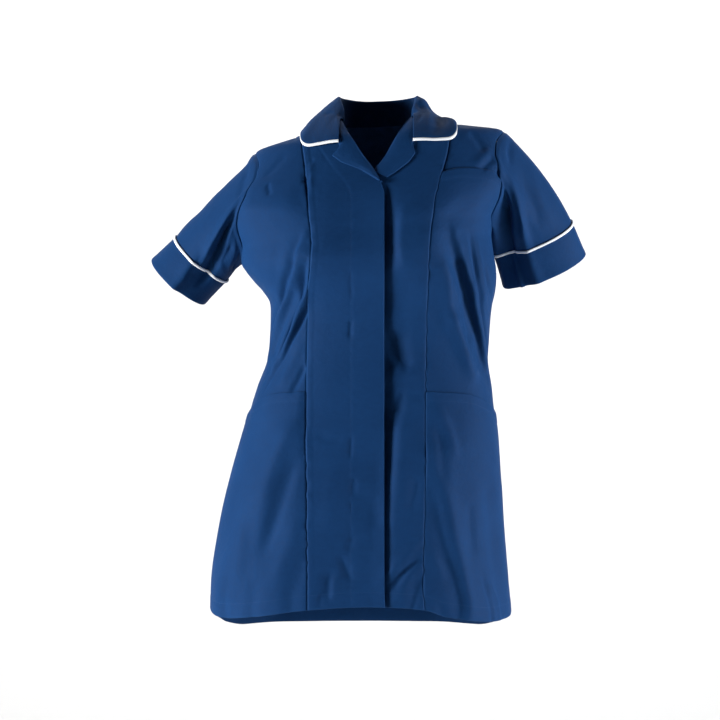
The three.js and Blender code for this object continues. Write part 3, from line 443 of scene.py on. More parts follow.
# Creases of the centre fronts, between the princess seams.
FRONT_CREASES = [
    # the folds beside the front edge
    (-4.5, 7, 13, [(3.6, -304), (5.2, -330), (8, -352), (12, -380)]),
    (1.8, 5, 7, [(10, -120), (11.6, -160), (10.4, -205), (8, -240)]),
    (-2.2, 5, 6, [(9.6, -396), (8.8, -416), (8, -440)]),
    (2.6, 7, 5, [(20.8, -616), (15.2, -638), (10.8, -660), (7.2, -690)]),
    (-3.6, 5, 4, [(21.2, -642), (15.6, -661), (12, -678), (8, -700)]),
    (2, 5, 5, [(21.6, -654), (16.4, -670), (12.4, -696), (10, -718)]),
    (-3, 6, 4, [(20, -668), (18, -692), (15.2, -724), (14, -760)]),
    (-2.4, 7, 6, [(17.6, -524), (16.4, -552), (15.2, -588)]),
    (1.8, 8, 9, [(10.8, -408), (10.4, -460), (10.4, -518), (10, -578)]),
    (-1.6, 8, 7, [(16, -380), (14.8, -398), (18, -418)]),
    # the pressed fly panel
    (-2.4, 10, 9, [(-3.2, -542), (-0.4, -564), (2, -586), (4.8, -610)]),
    (-6, 32, 13, [(1.5, -400), (1.5, -520), (1.5, -660), (1.5, -800)]),
    (1.6, 8, 9, [(-10, -506), (-10, -564), (-10, -622)]),
    (-1.8, 3.5, 3, [(-6, -463), (-5.6, -486), (-4.8, -506)]),
    (-2.2, 3.5, 3, [(-3.6, -524), (-3.2, -542), (-3.2, -560)]),
    (-1.8, 3, 3, [(-2, -610), (-2.4, -630), (-2.4, -644)]),
    (-3, 4, 4, [(-5.6, -640), (-3.6, -660), (-1.6, -678), (0.4, -685)]),
    (-3.2, 7, 5, [(-8, -660), (-8.4, -686), (-9.6, -720)]),
    (1.4, 4, 4, [(-6, -674), (-6.8, -696), (-7.2, -715)]),
    (-1.6, 3, 3, [(-11.2, -698), (-11.6, -710), (-12, -724)]),
    (-1.4, 3, 3, [(-7.2, -214), (-10.8, -238), (-12.8, -265)]),
    (-1.6, 3, 3, [(-12, -292), (-12, -307), (-11.6, -326)]),
    (-1.2, 6, 6, [(-20.8, -463), (-13.6, -475), (-8, -472)]),
]
# Creases that cross the seams: the chest, the shoulders and the back.
OPEN_CREASES = [
    # the chest and shoulders
    (4.2, 13, 36, [(-62, -100), (-44.8, -108), (-32.8, -112), (-18, -115)]),
    (-1.8, 3, 3, [(-40.8, -72), (-38.8, -84), (-37.6, -94)]),
    (-1.4, 2.5, 3, [(-24, -62), (-21.2, -85), (-20.4, -106)]),
    (1.2, 3, 3, [(-24, -46), (-21.2, -70), (-18.8, -94)]),
    (-1.5, 3, 3, [(-24.8, -78), (-22.4, -74), (-21.6, -64)]),
    (-1.3, 3, 3, [(-27.2, -54), (-24.8, -48), (-22.8, -43)]),
    (1.8, 14, 20, [(7.6, -139), (16.4, -145), (27.6, -142), (37.2, -116)]),
    (-1.8, 7, 7, [(39.2, -19), (44, -37), (46, -61)]),
    (2.2, 6, 6, [(36.8, -82), (42.8, -67), (52, -49)]),
    (-2, 5, 5, [(41.6, -90), (46.4, -76), (52.4, -66)]),
    (-2.2, 5, 4, [(52, -88), (55.6, -96), (59.2, -103)]),
    (-1.2, 8, 8, [(-40.4, -26), (-42.8, -48), (-46.4, -67)]),
    # the back
    (-3.3, 6, 4, [(150, -195), (142, -235), (126, -280), (112, -330)]),
    (3.3, 9, 4, [(154, -205), (146, -250), (130, -300), (114, -352)]),
    (-3, 6, 5, [(158, -235), (150, -275), (136, -320), (120, -365)]),
    (2.1, 6, 5, [(162, -260), (152, -310), (138, -352)]),
    (-3.3, 4, 6, [(-152, -190), (-144, -228), (-130, -276), (-114, -325)]),
    (3.4, 4, 9, [(-156, -202), (-148, -246), (-133, -296), (-116, -348)]),
    (-3, 5, 6, [(-160, -232), (-152, -272), (-139, -316), (-122, -362)]),
    (2.2, 5, 6, [(-165, -262), (-156, -308), (-142, -350)]),
    (-2.1, 8, 8, [(174, -150), (176, -220), (179, -300)]),
    (1.8, 9, 9, [(-176, -160), (-172, -230), (-174, -310)]),
    (-1.5, 5, 6, [(128, -90), (138, -110), (150, -150)]),
    (1.5, 6, 6, [(-128, -92), (-140, -116), (-152, -160)]),
    (2.4, 9, 12, [(164, -450), (160, -560), (154, -680), (152, -770)]),
    (-2.4, 9, 9, [(148, -470), (143, -590), (138, -760)]),
    (2.1, 8, 10, [(128, -500), (124, -620), (120, -750)]),
    (-2.2, 9, 9, [(-172, -480), (-170, -600), (-174, -770)]),
    (2.4, 10, 9, [(-152, -440), (-146, -560), (-143, -770)]),
    (-2.1, 8, 8, [(-136, -490), (-131, -610), (-128, -755)]),
    (1.8, 8, 8, [(-112, -470), (-108, -590), (-104, -740)]),
]
FADE_SHARE = 0.28  # of a crease's length, at each end
CREASE_WANDER = 1.6


def line_distance(x, y, places):
    """Distance to a polyline, the side of it (-1 or 1) and how far along it the nearest place is, 0 to 1."""
    best = np.full(x.shape, 1e9)
    side = np.ones(x.shape)
    share = np.zeros(x.shape)
    done = lengths_along(places)
    whole_x, whole_y = places[-1] - places[0]
    upward = np.sign(whole_y) if abs(whole_y) >= abs(whole_x) else -np.sign(whole_x)
    for k, (x0, y0) in enumerate(places[:-1]):
        dx, dy = places[k + 1] - places[k]
        t = np.clip(((x - x0) * dx + (y - y0) * dy) / (dx * dx + dy * dy), 0, 1)
        away = np.hypot(x - x0 - t * dx, y - y0 - t * dy)
        nearer = away < best
        best = np.where(nearer, away, best)
        side = np.where(nearer, np.sign((x - x0) * dy - (y - y0) * dx) * upward, side)
        share = np.where(nearer, lerp(done[k], done[k + 1], t) / done[-1], share)
    return best, side, share


def rounded(places, pieces=4):
    """A line through the given places, bent softly instead of at corners."""
    done = lengths_along(places)
    at = np.interp(np.arange(pieces * (len(done) - 1) + 1) / pieces, np.arange(len(done)), done)
    return np.stack([smooth(done, places[:, 0], at), smooth(done, places[:, 1], at)], -1)


def crease_height(x, y, creases):
    """Sum of the creases over a plane; their lines wander a little, and they fade at both ends."""
    x = x + CREASE_WANDER * WANDER(x, y)
    total = np.zeros(x.shape)
    for height, low, high, places in creases:
        places = np.array(places, float)
        reach = 3 * max(low, high) + 4
        (x_min, y_min), (x_max, y_max) = places.min(0) - reach, places.max(0) + reach
        near = (x > x_min) & (x < x_max) & (y > y_min) & (y < y_max)
        if near.any():
            away, side, share = line_distance(x[near], y[near], rounded(places))
            fade = step(share, 0, FADE_SHARE) * step(1 - share, 0, FADE_SHARE)
            total[near] += height * bell(away, np.where(side < 0, low, high)) * fade
    return total


def unrolled(creases, radius):
    """Creases whose angles in degrees are turned into lengths round a radius."""
    return [
        (height, low, high, [(math.radians(angle) * radius, place) for angle, place in places])
        for height, low, high, places in creases
    ]


SIDE_CREASES, FRONT_CREASES, OPEN_CREASES = (
    unrolled(creases, FOLD_RADIUS) for creases in (SIDE_CREASES, FRONT_CREASES, OPEN_CREASES)
)
FLAT_FRONT = (-22, 1)  # the pressed fly panel stays flatter between these angles
FLAT_SHARE = 0.55
HEM_ZONE = (640, 735)  # how far below the neck the cloth gets looser towards the hem
ROUGH = {"broad": 0.8, "middle": 0.4, "fine": 0.07, "hem": 0.7}  # heights of the cloth's unevenness
SEAM_STOP = 1.2  # degrees over which a crease stops at a princess seam


def cloth_height(angle, z):
    """Everything that the cloth does on top of the large folds."""
    turn = signed(np.degrees(angle))
    x = np.radians(turn) * FOLD_RADIUS
    flat = step(turn, FLAT_FRONT[0] - 4, FLAT_FRONT[0]) * step(-turn, -FLAT_FRONT[1] - 2, -FLAT_FRONT[1])
    rough = ROUGH["broad"] * BROAD(x, z) + ROUGH["middle"] * MIDDLE(x, z) + ROUGH["fine"] * FINE(x, z)
    rough = rough + ROUGH["hem"] * step(-z, *HEM_ZONE) * MIDDLE(x, z * 0.3)
    seam = np.degrees(np.where(turn < 0, -princess_angle(-1, z), princess_angle(1, z)))
    beyond = step(np.abs(turn) - seam, -SEAM_STOP, SEAM_STOP)
    beyond = np.where(np.abs(turn) > 90, 1, beyond)
    creased = lerp(crease_height(x, z, FRONT_CREASES), crease_height(x, z, SIDE_CREASES), beyond)
    return creased + crease_height(x, z, OPEN_CREASES) + (1 - FLAT_SHARE * flat) * rough


# ---- meshes ----
EDGE_PLACES = [0, 0.5, 1.1, 1.9, 3.0, 4.6, 6.8]  # rows and columns beside a seam or an edge


def edge_steps(length, coarse, first=True, last=True):
    """Places from 0 to 1 along a length, closer together near its ends, where seams and edges turn."""
    low = EDGE_PLACES if first else [0]
    high = [length - d for d in reversed(EDGE_PLACES)] if last else [length]
    count = max(2, int(round((high[0] - low[-1]) / coarse)) + 1)
    middle = list(np.linspace(low[-1], high[0], count))
    return np.array(low[:-1] + middle + high[1:]) / length


def column(values):
    """One value for each row of a grid."""
    return np.asarray(values)[:, None]


def grid(angle, z):
    """A grid of angle and height."""
    return np.stack(np.broadcast_arrays(angle, z), -1)


def lengths_in(points, axis):
    """Length along a grid from its first row or column."""
    lengths = np.linalg.norm(np.diff(points, axis=axis), axis=-1)
    zero = np.zeros_like(np.take(lengths, [0], axis=axis))
    return np.cumsum(np.concatenate([zero, lengths], axis=axis), axis=axis)


def grid_normals(points, toward, wrap=False):
    """The normals of a grid, on the side that the given directions show."""
    across = np.roll(points, -1, 1) - np.roll(points, 1, 1) if wrap else np.gradient(points, axis=1)
    normals = unit(np.cross(across, np.gradient(points, axis=0)))
    return normals if (normals * toward).sum() > 0 else -normals


def wrapped(index):
    """Vertex numbers of a grid that closes round on itself."""
    return np.concatenate([index, index[:, :1]], axis=1)


def quads(index):
    """The faces of a grid of vertex numbers."""
    corners = (index[:-1, :-1], index[:-1, 1:], index[1:, 1:], index[1:, :-1])
    return np.stack(corners, -1).reshape(-1, 4)


def outward(vertices, faces):
    """The faces of a closed or nearly closed form, turned so that they look outwards."""
    a, b, c, d = (vertices[faces[:, k]] for k in range(4))
    volume = (a * np.cross(b, c)).sum() + (a * np.cross(c, d)).sum()
    return faces if volume > 0 else faces[:, ::-1]


def make_mesh(name, vertices, faces, uv, material, edge=None):
    """A smooth mesh from vertices in millimetres, its faces, its UV and how near it is to an edge."""
    mesh = bpy.data.meshes.new(name)
    mesh.from_pydata((vertices * MM).tolist(), [], faces)
    mesh.validate(clean_customdata=False)
    layer = mesh.uv_layers.new(name="cloth")
    corner = np.zeros(len(mesh.loops), np.int32)
    mesh.loops.foreach_get("vertex_index", corner)
    layer.data.foreach_set("uv", (uv[corner] * MM).astype(np.float32).ravel())
    if edge is not None:
        attribute = mesh.attributes.new("edge", "FLOAT", "POINT")
        attribute.data.foreach_set("value", edge.astype(np.float32))
    mesh.materials.append(material)
    mesh.polygons.foreach_set("use_smooth", np.ones(len(mesh.polygons), bool))
    mesh.update()
    made = bpy.data.objects.new(name, mesh)
    bpy.context.scene.collection.objects.link(made)
    return made


def shell(name, points, normals, thick, uv, edge, wrap=False):
    """A cloth wall: the grid is its outer face, and the inner face lies behind it."""
    rows, columns = points.shape[:2]
    inner = points - normals * np.broadcast_to(thick, (rows, columns))[..., None]
    vertices = np.concatenate([points.reshape(-1, 3), inner.reshape(-1, 3)])
    count = rows * columns
    index = np.arange(count).reshape(rows, columns)
    index = wrapped(index) if wrap else index
    bands = [(index[0] + count, index[0]), (index[-1], index[-1] + count)]
    if not wrap:
        bands += [(index[:, 0], index[:, 0] + count), (index[:, -1] + count, index[:, -1])]
    faces = [quads(index), quads(index)[:, ::-1] + count] + [quads(np.stack(band)) for band in bands]
    faces = outward(vertices, np.concatenate(faces))
    uv, edge = uv.reshape(-1, 2), edge.ravel()
    return make_mesh(name, vertices, faces.tolist(), np.tile(uv, (2, 1)), NAVY, np.tile(edge, 2))


# ---- seams, edges and stitches ----
SEAM_DEPTH = 1.1
SEAM_WIDTH = 1.3
STITCH_PITCH = 3.0
STITCH_LENGTH = 2.1
STITCH_SINK = 0.1
# The sections of a stitch: share of its length, height and girth of the thread.
STITCH_PROFILE = [
    (-0.5, -0.35, 0.35),
    (-0.3, 0.12, 0.8),
    (0.0, 0.28, 1.0),
    (0.3, 0.12, 0.8),
    (0.5, -0.35, 0.35),
]
STITCH_SIDES = 5
CLOTH_THICK = 0.8
FOLDED_THICK = 1.6


def pucker(length, seed):
    """Uneven little gathers along a seam or a line of stitches."""
    strength = np.clip(0.35 + 0.9 * PUCKER_STRENGTH(length + 71 * seed), 0, 1.2)
    return PUCKER(length + 37 * seed) * strength


def seam_lift(away, length, seed, bulk, gather):
    """A sewn seam: the cloth turns in at the seam and gathers a little; its allowance lies under one side."""
    lift = -SEAM_DEPTH * bell(away, SEAM_WIDTH) - 0.25 * bell(away, 5)
    lift += bulk * step(away, 0.8, 2.4) * step(-away, -11, -8)
    return lift + gather * pucker(length, seed) * bell(away - 1.5, 4.5)


def fold_lift(away, thick):
    """A folded edge is round."""
    return -0.5 * thick * np.clip(1 - away / (0.6 * thick), 0, 1) ** 2


def stitch_lift(away, length, seed, at, gather):
    """A line of stitches at a distance from an edge pulls the cloth in."""
    close = (-0.5 + gather * pucker(length, seed)) * bell(away - at, 1.7)
    return close + 0.5 * gather * pucker(length, seed + 5) * bell(away - at, 6)


class Border:
    """One edge of a panel: sewn, or folded with its stitches at a distance from it."""

    def __init__(self, seed, gather, at=None, bulk=0.0):
        self.seed, self.gather, self.at, self.bulk = seed, gather, at, bulk

    def lift(self, away, length):
        if self.at is None:
            return seam_lift(away, length, self.seed, self.bulk, self.gather)
        stitched = stitch_lift(away, length, self.seed, self.at, 0.5 * self.gather)
        return fold_lift(away, FOLDED_THICK) + stitched + 0.25 * step(-away, -self.at - 1.5, -self.at)

    def thickness(self, away):
        folded = 0 if self.at is None else step(-away, -self.at - 1, -self.at)
        return lerp(CLOTH_THICK, FOLDED_THICK, folded)

    def nearness(self, away):
        near = bell(away, 2.2)
        return near if self.at is None else np.maximum(near, 0.6 * bell(away - self.at, 1.6))


def border_distances(points):
    """For each grid point: how far it is from each side of the grid, and how far along that side."""
    across, up = lengths_in(points, 1), lengths_in(points, 0)
    return {
        "left": (across, up),
        "right": (across[:, -1:] - across, up),
        "bottom": (up, across),
        "top": (up[-1:] - up, across),
    }


def sew(points, normals, lift, borders):
    """Lifts a grid off its base, shapes its borders and returns points, thickness and nearness to an edge."""
    thick = np.full(points.shape[:2], CLOTH_THICK)
    near = np.zeros(points.shape[:2])
    distances = border_distances(points)
    for side, border in borders.items():
        away, length = distances[side]
        lift = lift + border.lift(away, length)
        thick = np.maximum(thick, border.thickness(away))
        near = np.maximum(near, border.nearness(away))
    return points + normals * lift[..., None], thick, near


def line_in(rows, away, at):
    """The places in rows of points that lie a given distance from their border."""
    found = []
    for row, far in zip(rows, away):
        if far[0] > far[-1]:
            row, far = row[::-1], far[::-1]
        if far[-1] >= at:
            found.append(at_lengths(row, far, at))
    return np.array(found)


def at_lengths(line, lengths, places):
    """The points of a line at the given lengths."""
    return np.stack([np.interp(places, lengths, line[:, c]) for c in range(3)], -1)


def stitch_places(points, out, side, at, trim):
    """Middle, direction and outward way of each stitch in a line at a distance from one side of a panel."""
    away, _length = border_distances(points)[side]
    if side in ("bottom", "top"):
        points, out, away = (np.swapaxes(values, 0, 1) for values in (points, out, away))
    line, normals = line_in(points, away, at), line_in(out, away, at)
    lengths = lengths_along(line)
    places = np.arange(trim[0] + STITCH_PITCH / 2, lengths[-1] - trim[1], STITCH_PITCH)
    tangent = unit(at_lengths(line, lengths, places + 0.6) - at_lengths(line, lengths, places - 0.6))
    way = unit(at_lengths(normals, lengths, places))
    way = unit(way - tangent * (way * tangent).sum(-1, keepdims=True))
    return at_lengths(line, lengths, places) - way * STITCH_SINK, tangent, way


def thread_mesh(name, lines):
    """The stitches of a panel as small bent threads, in one mesh."""
    middle, tangent, out = (np.concatenate(parts) for parts in zip(*lines))
    side = np.cross(tangent, out)
    vertices = [
        middle
        + tangent * share * STITCH_LENGTH
        + out * (height * 0.5 + 0.2 * girth * math.cos(turn))
        + side * (0.26 * girth * math.sin(turn))
        for share, height, girth in STITCH_PROFILE
        for turn in np.linspace(0, 2 * math.pi, STITCH_SIDES, endpoint=False)
    ]
    per = len(vertices)
    vertices = np.stack(vertices, 1).reshape(-1, 3)
    first = np.arange(len(middle))[:, None] * per
    around = quads(wrapped(np.arange(per).reshape(-1, STITCH_SIDES)))
    faces = (first[..., None] + around).reshape(-1, 4).tolist()
    start, end = np.arange(STITCH_SIDES)[::-1], np.arange(per - STITCH_SIDES, per)
    faces += np.stack([first + start, first + end], 1).reshape(-1, STITCH_SIDES).tolist()
    return make_mesh(name, vertices, faces, vertices[:, [0, 2]], THREAD)


# ---- where the panels lie on the body, as grids of angle and height ----
# The shares u run across a panel from 0 to 1, and the stations q count up its seams from the underarm.
HEM_STEPS = edge_steps(52, 3.0, True, False)
LEVEL_STEPS = np.linspace(LEVEL_Z, UNDERARM_Z, 171)
STATION_STEPS = np.linspace(0, LAST_STATION, 12 * 6 + 1)


def princess_angle(side, z):
    """The angle of a princess seam at a height."""
    return angle_at(smooth(PRINCESS[side]["z"], PRINCESS[side]["x"], z), z)


def station(name, q):
    """A column of the stations, read smoothly."""
    return smooth(np.arange(LAST_STATION + 1.0), UPPER[name], q)


def armhole(side, q, back=False):
    """Places up the front or back half of an armhole."""
    turn = np.radians(station("back" if back else "front", q)) * side
    return grid(math.pi - turn if back else turn, station("armhole", q))


def princess(side, q):
    """The princess seam above the underarm, ending on the shoulder seam."""
    q = np.asarray(q, float)
    last = LAST_STATION - 1
    z = smooth(np.arange(last + 1.0), UPPER["princess"][:-1], np.minimum(q, last))
    rest = np.clip(q - last, 0, 1)
    end_z = shoulder_z(PRINCESS[side]["x"][-1])
    return grid(lerp(princess_angle(side, z), side * math.pi / 2, rest), lerp(z, end_z, rest))


def patch(left, right, bottom, top, u):
    """A grid between four borders: rows run upwards, columns across at the shares u."""
    v = np.linspace(0, 1, len(left))[:, None, None]
    u = u[None, :, None]
    ruled = (1 - u) * left[:, None] + u * right[:, None] + (1 - v) * bottom[None] + v * top[None]
    low = (1 - u) * (1 - v) * left[0] + u * (1 - v) * right[0]
    return ruled - (low + (1 - u) * v * left[-1] + u * v * right[-1])


def pinned(line, start, end, u):
    """A line moved so that it runs between two given places."""
    return line + column(1 - u) * (start - line[0]) + column(u) * (end - line[-1])


def hem_rows(angles, hem):
    """Rows between a hem and the first level row."""
    return grid(angles, lerp(hem, LEVEL_Z, column(HEM_STEPS[:-1])))


def front_hem(angle):
    """The height of the front hem."""
    return smooth(FRONT_HEM["angle"], FRONT_HEM["z"], np.degrees(angle))


def side_grid(side, z, u):
    """Columns spread evenly from a princess seam to the side seam."""
    return grid(lerp(princess_angle(side, z), side * math.pi / 2, u), z)


def side_lower(side, u, top=UNDERARM_Z):
    """A side front from its hem to a given height."""
    bottom = side_grid(side, np.array([[float(LEVEL_Z)]]), u)[0, :, 0]
    level = side_grid(side, column(LEVEL_STEPS[LEVEL_STEPS <= top]), u)
    return np.concatenate([hem_rows(bottom, front_hem(bottom)), level])


def mouth(u):
    """The chest pocket's mouth from the princess seam to the armhole."""
    lip = along(CHEST_MOUTH, u)
    line = grid(angle_at(lip["x"], lip["z"]), lip["z"])
    return pinned(line, princess(1, MOUTH_STATION), armhole(1, MOUTH_STATION), u)


def stations_between(low, high):
    """The stations of the rows between two others, with both."""
    inner = STATION_STEPS[(STATION_STEPS > low + 1e-6) & (STATION_STEPS < high - 1e-6)]
    return np.concatenate([[low], inner, [high]])


def side_front(side, u):
    """A side front, up to the shoulder or to the mouth of the chest pocket."""
    lower = side_lower(side, u)
    q = stations_between(0, LAST_STATION if side < 0 else MOUTH_STATION)
    seam, hole = princess(side, q), armhole(side, q)
    top = lerp(seam[-1], hole[-1], column(u)) if side < 0 else mouth(u)
    return np.concatenate([lower, patch(seam, hole, lower[-1], top, u)[1:]])


def yoke(u):
    """The upper left side front, from behind the chest pocket's mouth to the shoulder."""
    q = stations_between(YOKE_STATION, LAST_STATION)
    seam, hole = princess(1, q), armhole(1, q)
    bottom = pinned(mouth(u), seam[0], hole[0], u)
    return patch(seam, hole, bottom, lerp(seam[-1], hole[-1], column(u)), u)


def roll_point(side, t):
    """Places up a front's roll line, and on to the shoulder seam."""
    p = along(ROLL[side], np.minimum(t / ROLL_SHARE, 1))
    rest = np.clip((t - ROLL_SHARE) / (1 - ROLL_SHARE), 0, 1)
    return grid(lerp(angle_at(p["x"], p["z"]), side * math.pi / 2, rest), lerp(p["z"], NECK_Z, rest))


def centre_front(side, u):
    """A centre front from its princess seam to its edge, and above the break to the roll of its rever."""

    def level(z):
        z = column(z)
        x = lerp(FRONT_EDGE[side], ROLL[side]["x"][0], step(z, BREAK_Z - 12, BREAK_Z))
        return grid(lerp(princess_angle(side, z), angle_at(x, z), u), z)

    first = level([float(LEVEL_Z)])[0, :, 0]
    low_q = stations_between(0, BREAK_STATION)[1:]
    rows = [hem_rows(first, front_hem(first)), level(LEVEL_STEPS), level(princess(side, low_q)[:, 1])]
    lower = np.concatenate(rows)
    q = stations_between(BREAK_STATION, LAST_STATION)
    seam = princess(side, q)
    edge = roll_point(side, (q - BREAK_STATION) / (LAST_STATION - BREAK_STATION))
    top = lerp(seam[-1], edge[-1], column(u))
    return np.concatenate([lower, patch(seam, edge, lower[-1], top, u)[1:]])


def back_columns():
    """Shares of the back's width, closer together beside its seams and the ends of the neck."""
    shoulder = edge_steps(150, 4.2) * BACK_SHOULDER_SHARE
    neck = BACK_SHOULDER_SHARE + edge_steps(200, 4.2) * (1 - 2 * BACK_SHOULDER_SHARE)
    return np.concatenate([shoulder, neck[1:], (1 - BACK_SHOULDER_SHARE + shoulder)[1:]])


def back_panel(u):
    """The back, from the wearer's left side seam to the right one."""
    angles = math.pi * (0.5 + u)
    hem = smooth(BACK_HEM["angle"], BACK_HEM["z"], np.degrees(np.abs(angles - math.pi)))
    level = grid(angles, column(LEVEL_STEPS))
    q = stations_between(0, LAST_STATION)
    share = BACK_SHOULDER_SHARE
    from_end = np.minimum(u, 1 - u)
    on_shoulder = from_end <= share + 1e-9
    end = np.where(u < 0.5, math.pi / 2, 3 * math.pi / 2)
    top_angle = np.where(on_shoulder, end, math.pi * (0.5 + (u - share) / (1 - 2 * share)))
    top_z = np.where(on_shoulder, lerp(SHOULDER_TIP_Z, NECK_Z, from_end / share), NECK_Z)
    upper = patch(armhole(1, q, back=True), armhole(-1, q, back=True), level[-1], grid(top_angle, top_z), u)
    return np.concatenate([hem_rows(angles, hem), level, upper[1:]])


def hip_pocket(side, u):
    """The pocket's outer layer: the side front's own columns, from the hem to the sloping mouth."""
    lower = side_lower(side, u, top=-470)
    lip_z = smooth(HIP_MOUTH["share"], HIP_MOUTH["z"], u)
    z = lerp(lower[-1, :, 1], lip_z, column(edge_steps(48, 3.0, False, True)[1:]))
    return np.concatenate([lower, side_grid(side, z, u)])


def overlap_lift(side, x, z):
    """The upper front stands out towards its edge; the lower one drops back behind it into a hollow."""
    past = x - FRONT_EDGE[-1]
    share = step(1 - side * past / OVERLAP_BLEND, 0, 1)
    if side < 0:
        return OVERLAP_LIFT * share
    depth, reach = (smooth(EDGE_HOLLOW["z"], EDGE_HOLLOW[name], z) for name in ("depth", "reach"))
    return -OVERLAP_DROP * share - depth * bell(np.maximum(past, 0), reach)


def on_body(pairs):
    """Points, normals, the cloth's own height and the UV of a grid of angle and height."""
    angle, z = pairs[..., 0], pairs[..., 1]
    turn = (angle + math.pi) % (2 * math.pi) - math.pi
    turn = np.where(angle > math.pi, turn + 2 * math.pi, turn)  # the very centre back counts as -180 degrees
    return body(angle, z), body_normal(angle, z), cloth_height(angle, z), grid(turn * FOLD_RADIUS, z)


# ---- materials ----
class Nodes:
    """Builds a node tree in short calls."""

    def __init__(self, name):
        self.material = bpy.data.materials.new(name)
        self.material.use_nodes = True
        self.tree = self.material.node_tree
        self.tree.nodes.clear()

    def add(self, kind, inputs, **settings):
        node = self.tree.nodes.new(kind)
        for key, value in settings.items():
            setattr(node, key, value)
        for key, value in inputs.items():
            if isinstance(value, bpy.types.NodeSocket):
                self.tree.links.new(value, node.inputs[key])
            else:
                node.inputs[key].default_value = value
        return node

    def place(self, kind):
        return self.add("ShaderNodeTexCoord", {}).outputs[kind]

    def math(self, operation, a, b, clamp=False):
        return self.add("ShaderNodeMath", {0: a, 1: b}, operation=operation, use_clamp=clamp).outputs[0]

    def total(self, *terms):
        """The sum of sockets, each times its weight."""
        parts = [self.math("MULTIPLY", socket, weight) for socket, weight in terms]
        whole = parts[0]
        for part in parts[1:]:
            whole = self.math("ADD", whole, part)
        return whole

    def mix(self, factor, a, b):
        return self.add("ShaderNodeMix", {0: factor, 6: a, 7: b}, data_type="RGBA").outputs[2]

    def noise(self, vector, scale, detail=2.0):
        return self.add("ShaderNodeTexNoise", {"Vector": vector, "Scale": scale, "Detail": detail}).outputs[0]

    def turned(self, vector, degrees, scale=(1, 1, 1)):
        inputs = {"Vector": vector, "Rotation": (0, 0, math.radians(degrees)), "Scale": scale}
        return self.add("ShaderNodeMapping", inputs).outputs[0]

    def ribs(self, vector, degrees, scale, distortion):
        """Bands across a plane, turned by an angle."""
        inputs = {"Vector": self.turned(vector, degrees), "Scale": scale, "Distortion": distortion}
        inputs |= {"Detail": 1.0, "Detail Scale": 2.0}
        return self.add("ShaderNodeTexWave", inputs, wave_type="BANDS", bands_direction="X").outputs[1]

    def bump(self, strength, distance, height, **inputs):
        inputs |= {"Strength": strength, "Distance": distance, "Height": height}
        return self.add("ShaderNodeBump", inputs).outputs[0]

    def finish(self, inputs):
        surface = self.add("ShaderNodeBsdfPrincipled", inputs)
        self.add("ShaderNodeOutputMaterial", {"Surface": surface.outputs[0]})
        return self.material


def cloth_material(name, base, light, dark):
    """Polyester-cotton twill: diagonal ribs, slightly uneven yarns and a shade that varies over the cloth."""
    n = Nodes(name)
    uv = n.place("UV")
    edge = n.add("ShaderNodeAttribute", {}, attribute_name="edge").outputs["Fac"]
    broad = n.noise(uv, 14.0, 3.0)
    fine = n.noise(uv, 160.0)
    slub = n.noise(n.turned(uv, 0, (1, 0.06, 1)), 900.0)
    weave = n.total((n.ribs(uv, 63, 390.0, 0.6), 0.7), (n.ribs(uv, -27, 620.0, 0.8), 0.3))
    shade = n.total((broad, 0.55), (fine, 0.3), (slub, 0.15))
    shade = n.math("MULTIPLY", n.math("SUBTRACT", shade, 0.36), 3.4, clamp=True)
    colour = n.mix(shade, dark, base)
    colour = n.mix(n.total((weave, 0.22)), colour, light)
    colour = n.mix(n.total((edge, 0.16)), colour, light)
    yarns = n.bump(0.28, 0.00022, n.total((weave, 1.0), (slub, 0.35)))
    return n.finish({
        "Base Color": colour,
        "Roughness": n.math("ADD", 0.6, n.total((fine, 0.2))),
        "Normal": n.bump(0.35, 0.0012, fine, Normal=yarns),
        "Specular IOR Level": 0.06,
        "Sheen Weight": 0.04,
        "Sheen Roughness": 0.45,
        "Sheen Tint": (0.25, 0.5, 1.0, 1.0),
    })


def thread_material(name, base, light):
    """Spun thread: fine slanting plies."""
    n = Nodes(name)
    place = n.place("Object")
    ply = n.ribs(place, 40, 700.0, 0.5)
    cloudy = n.noise(place, 220.0)
    return n.finish({
        "Base Color": n.mix(n.total((ply, 0.4), (cloudy, 0.4)), base, light),
        "Roughness": 0.5,
        "Normal": n.bump(0.4, 0.0001, ply),
        "Specular IOR Level": 0.15,
    })


def piping_material(name, base, light):
    """Bias-cut white cotton drawn over a cord: a fine slanting rib, with painted shade that greys its hollows
    faintly.
    """
    n = Nodes(name)
    uv = n.place("UV")
    weave = n.total((n.ribs(uv, 45, 520.0, 0.6), 0.5), (n.ribs(uv, -45, 520.0, 0.6), 0.5))
    soft = n.noise(uv, 90.0, 3.0)
    return n.finish({
        # painted shade: the rib's hollows take the greyer, bluish base colour; the soft noise varies the tone
        # at random
        "Base Color": n.mix(n.total((weave, 0.35), (soft, 0.65)), base, light),
        "Roughness": 0.62,
        "Normal": n.bump(0.3, 0.0003, n.total((weave, 0.5), (soft, 1.0))),
        "Specular IOR Level": 0.3,
        "Sheen Weight": 0.15,
    })


def paper_material(name, base, light):
    """Matt paper of a nearly even tone."""
    n = Nodes(name)
    return n.finish({"Base Color": n.mix(n.noise(n.place("Object"), 1.5), base, light), "Roughness": 0.9})


NAVY = cloth_material(
    "navy_twill", (0.0042, 0.031, 0.108, 1), (0.0085, 0.055, 0.174, 1), (0.003, 0.024, 0.086, 1)
)
THREAD = thread_material("navy_thread", (0.0055, 0.027, 0.095, 1), (0.0115, 0.048, 0.155, 1))
WHITE = piping_material("white_piping", (0.66, 0.7, 0.76, 1), (0.86, 0.88, 0.9, 1))


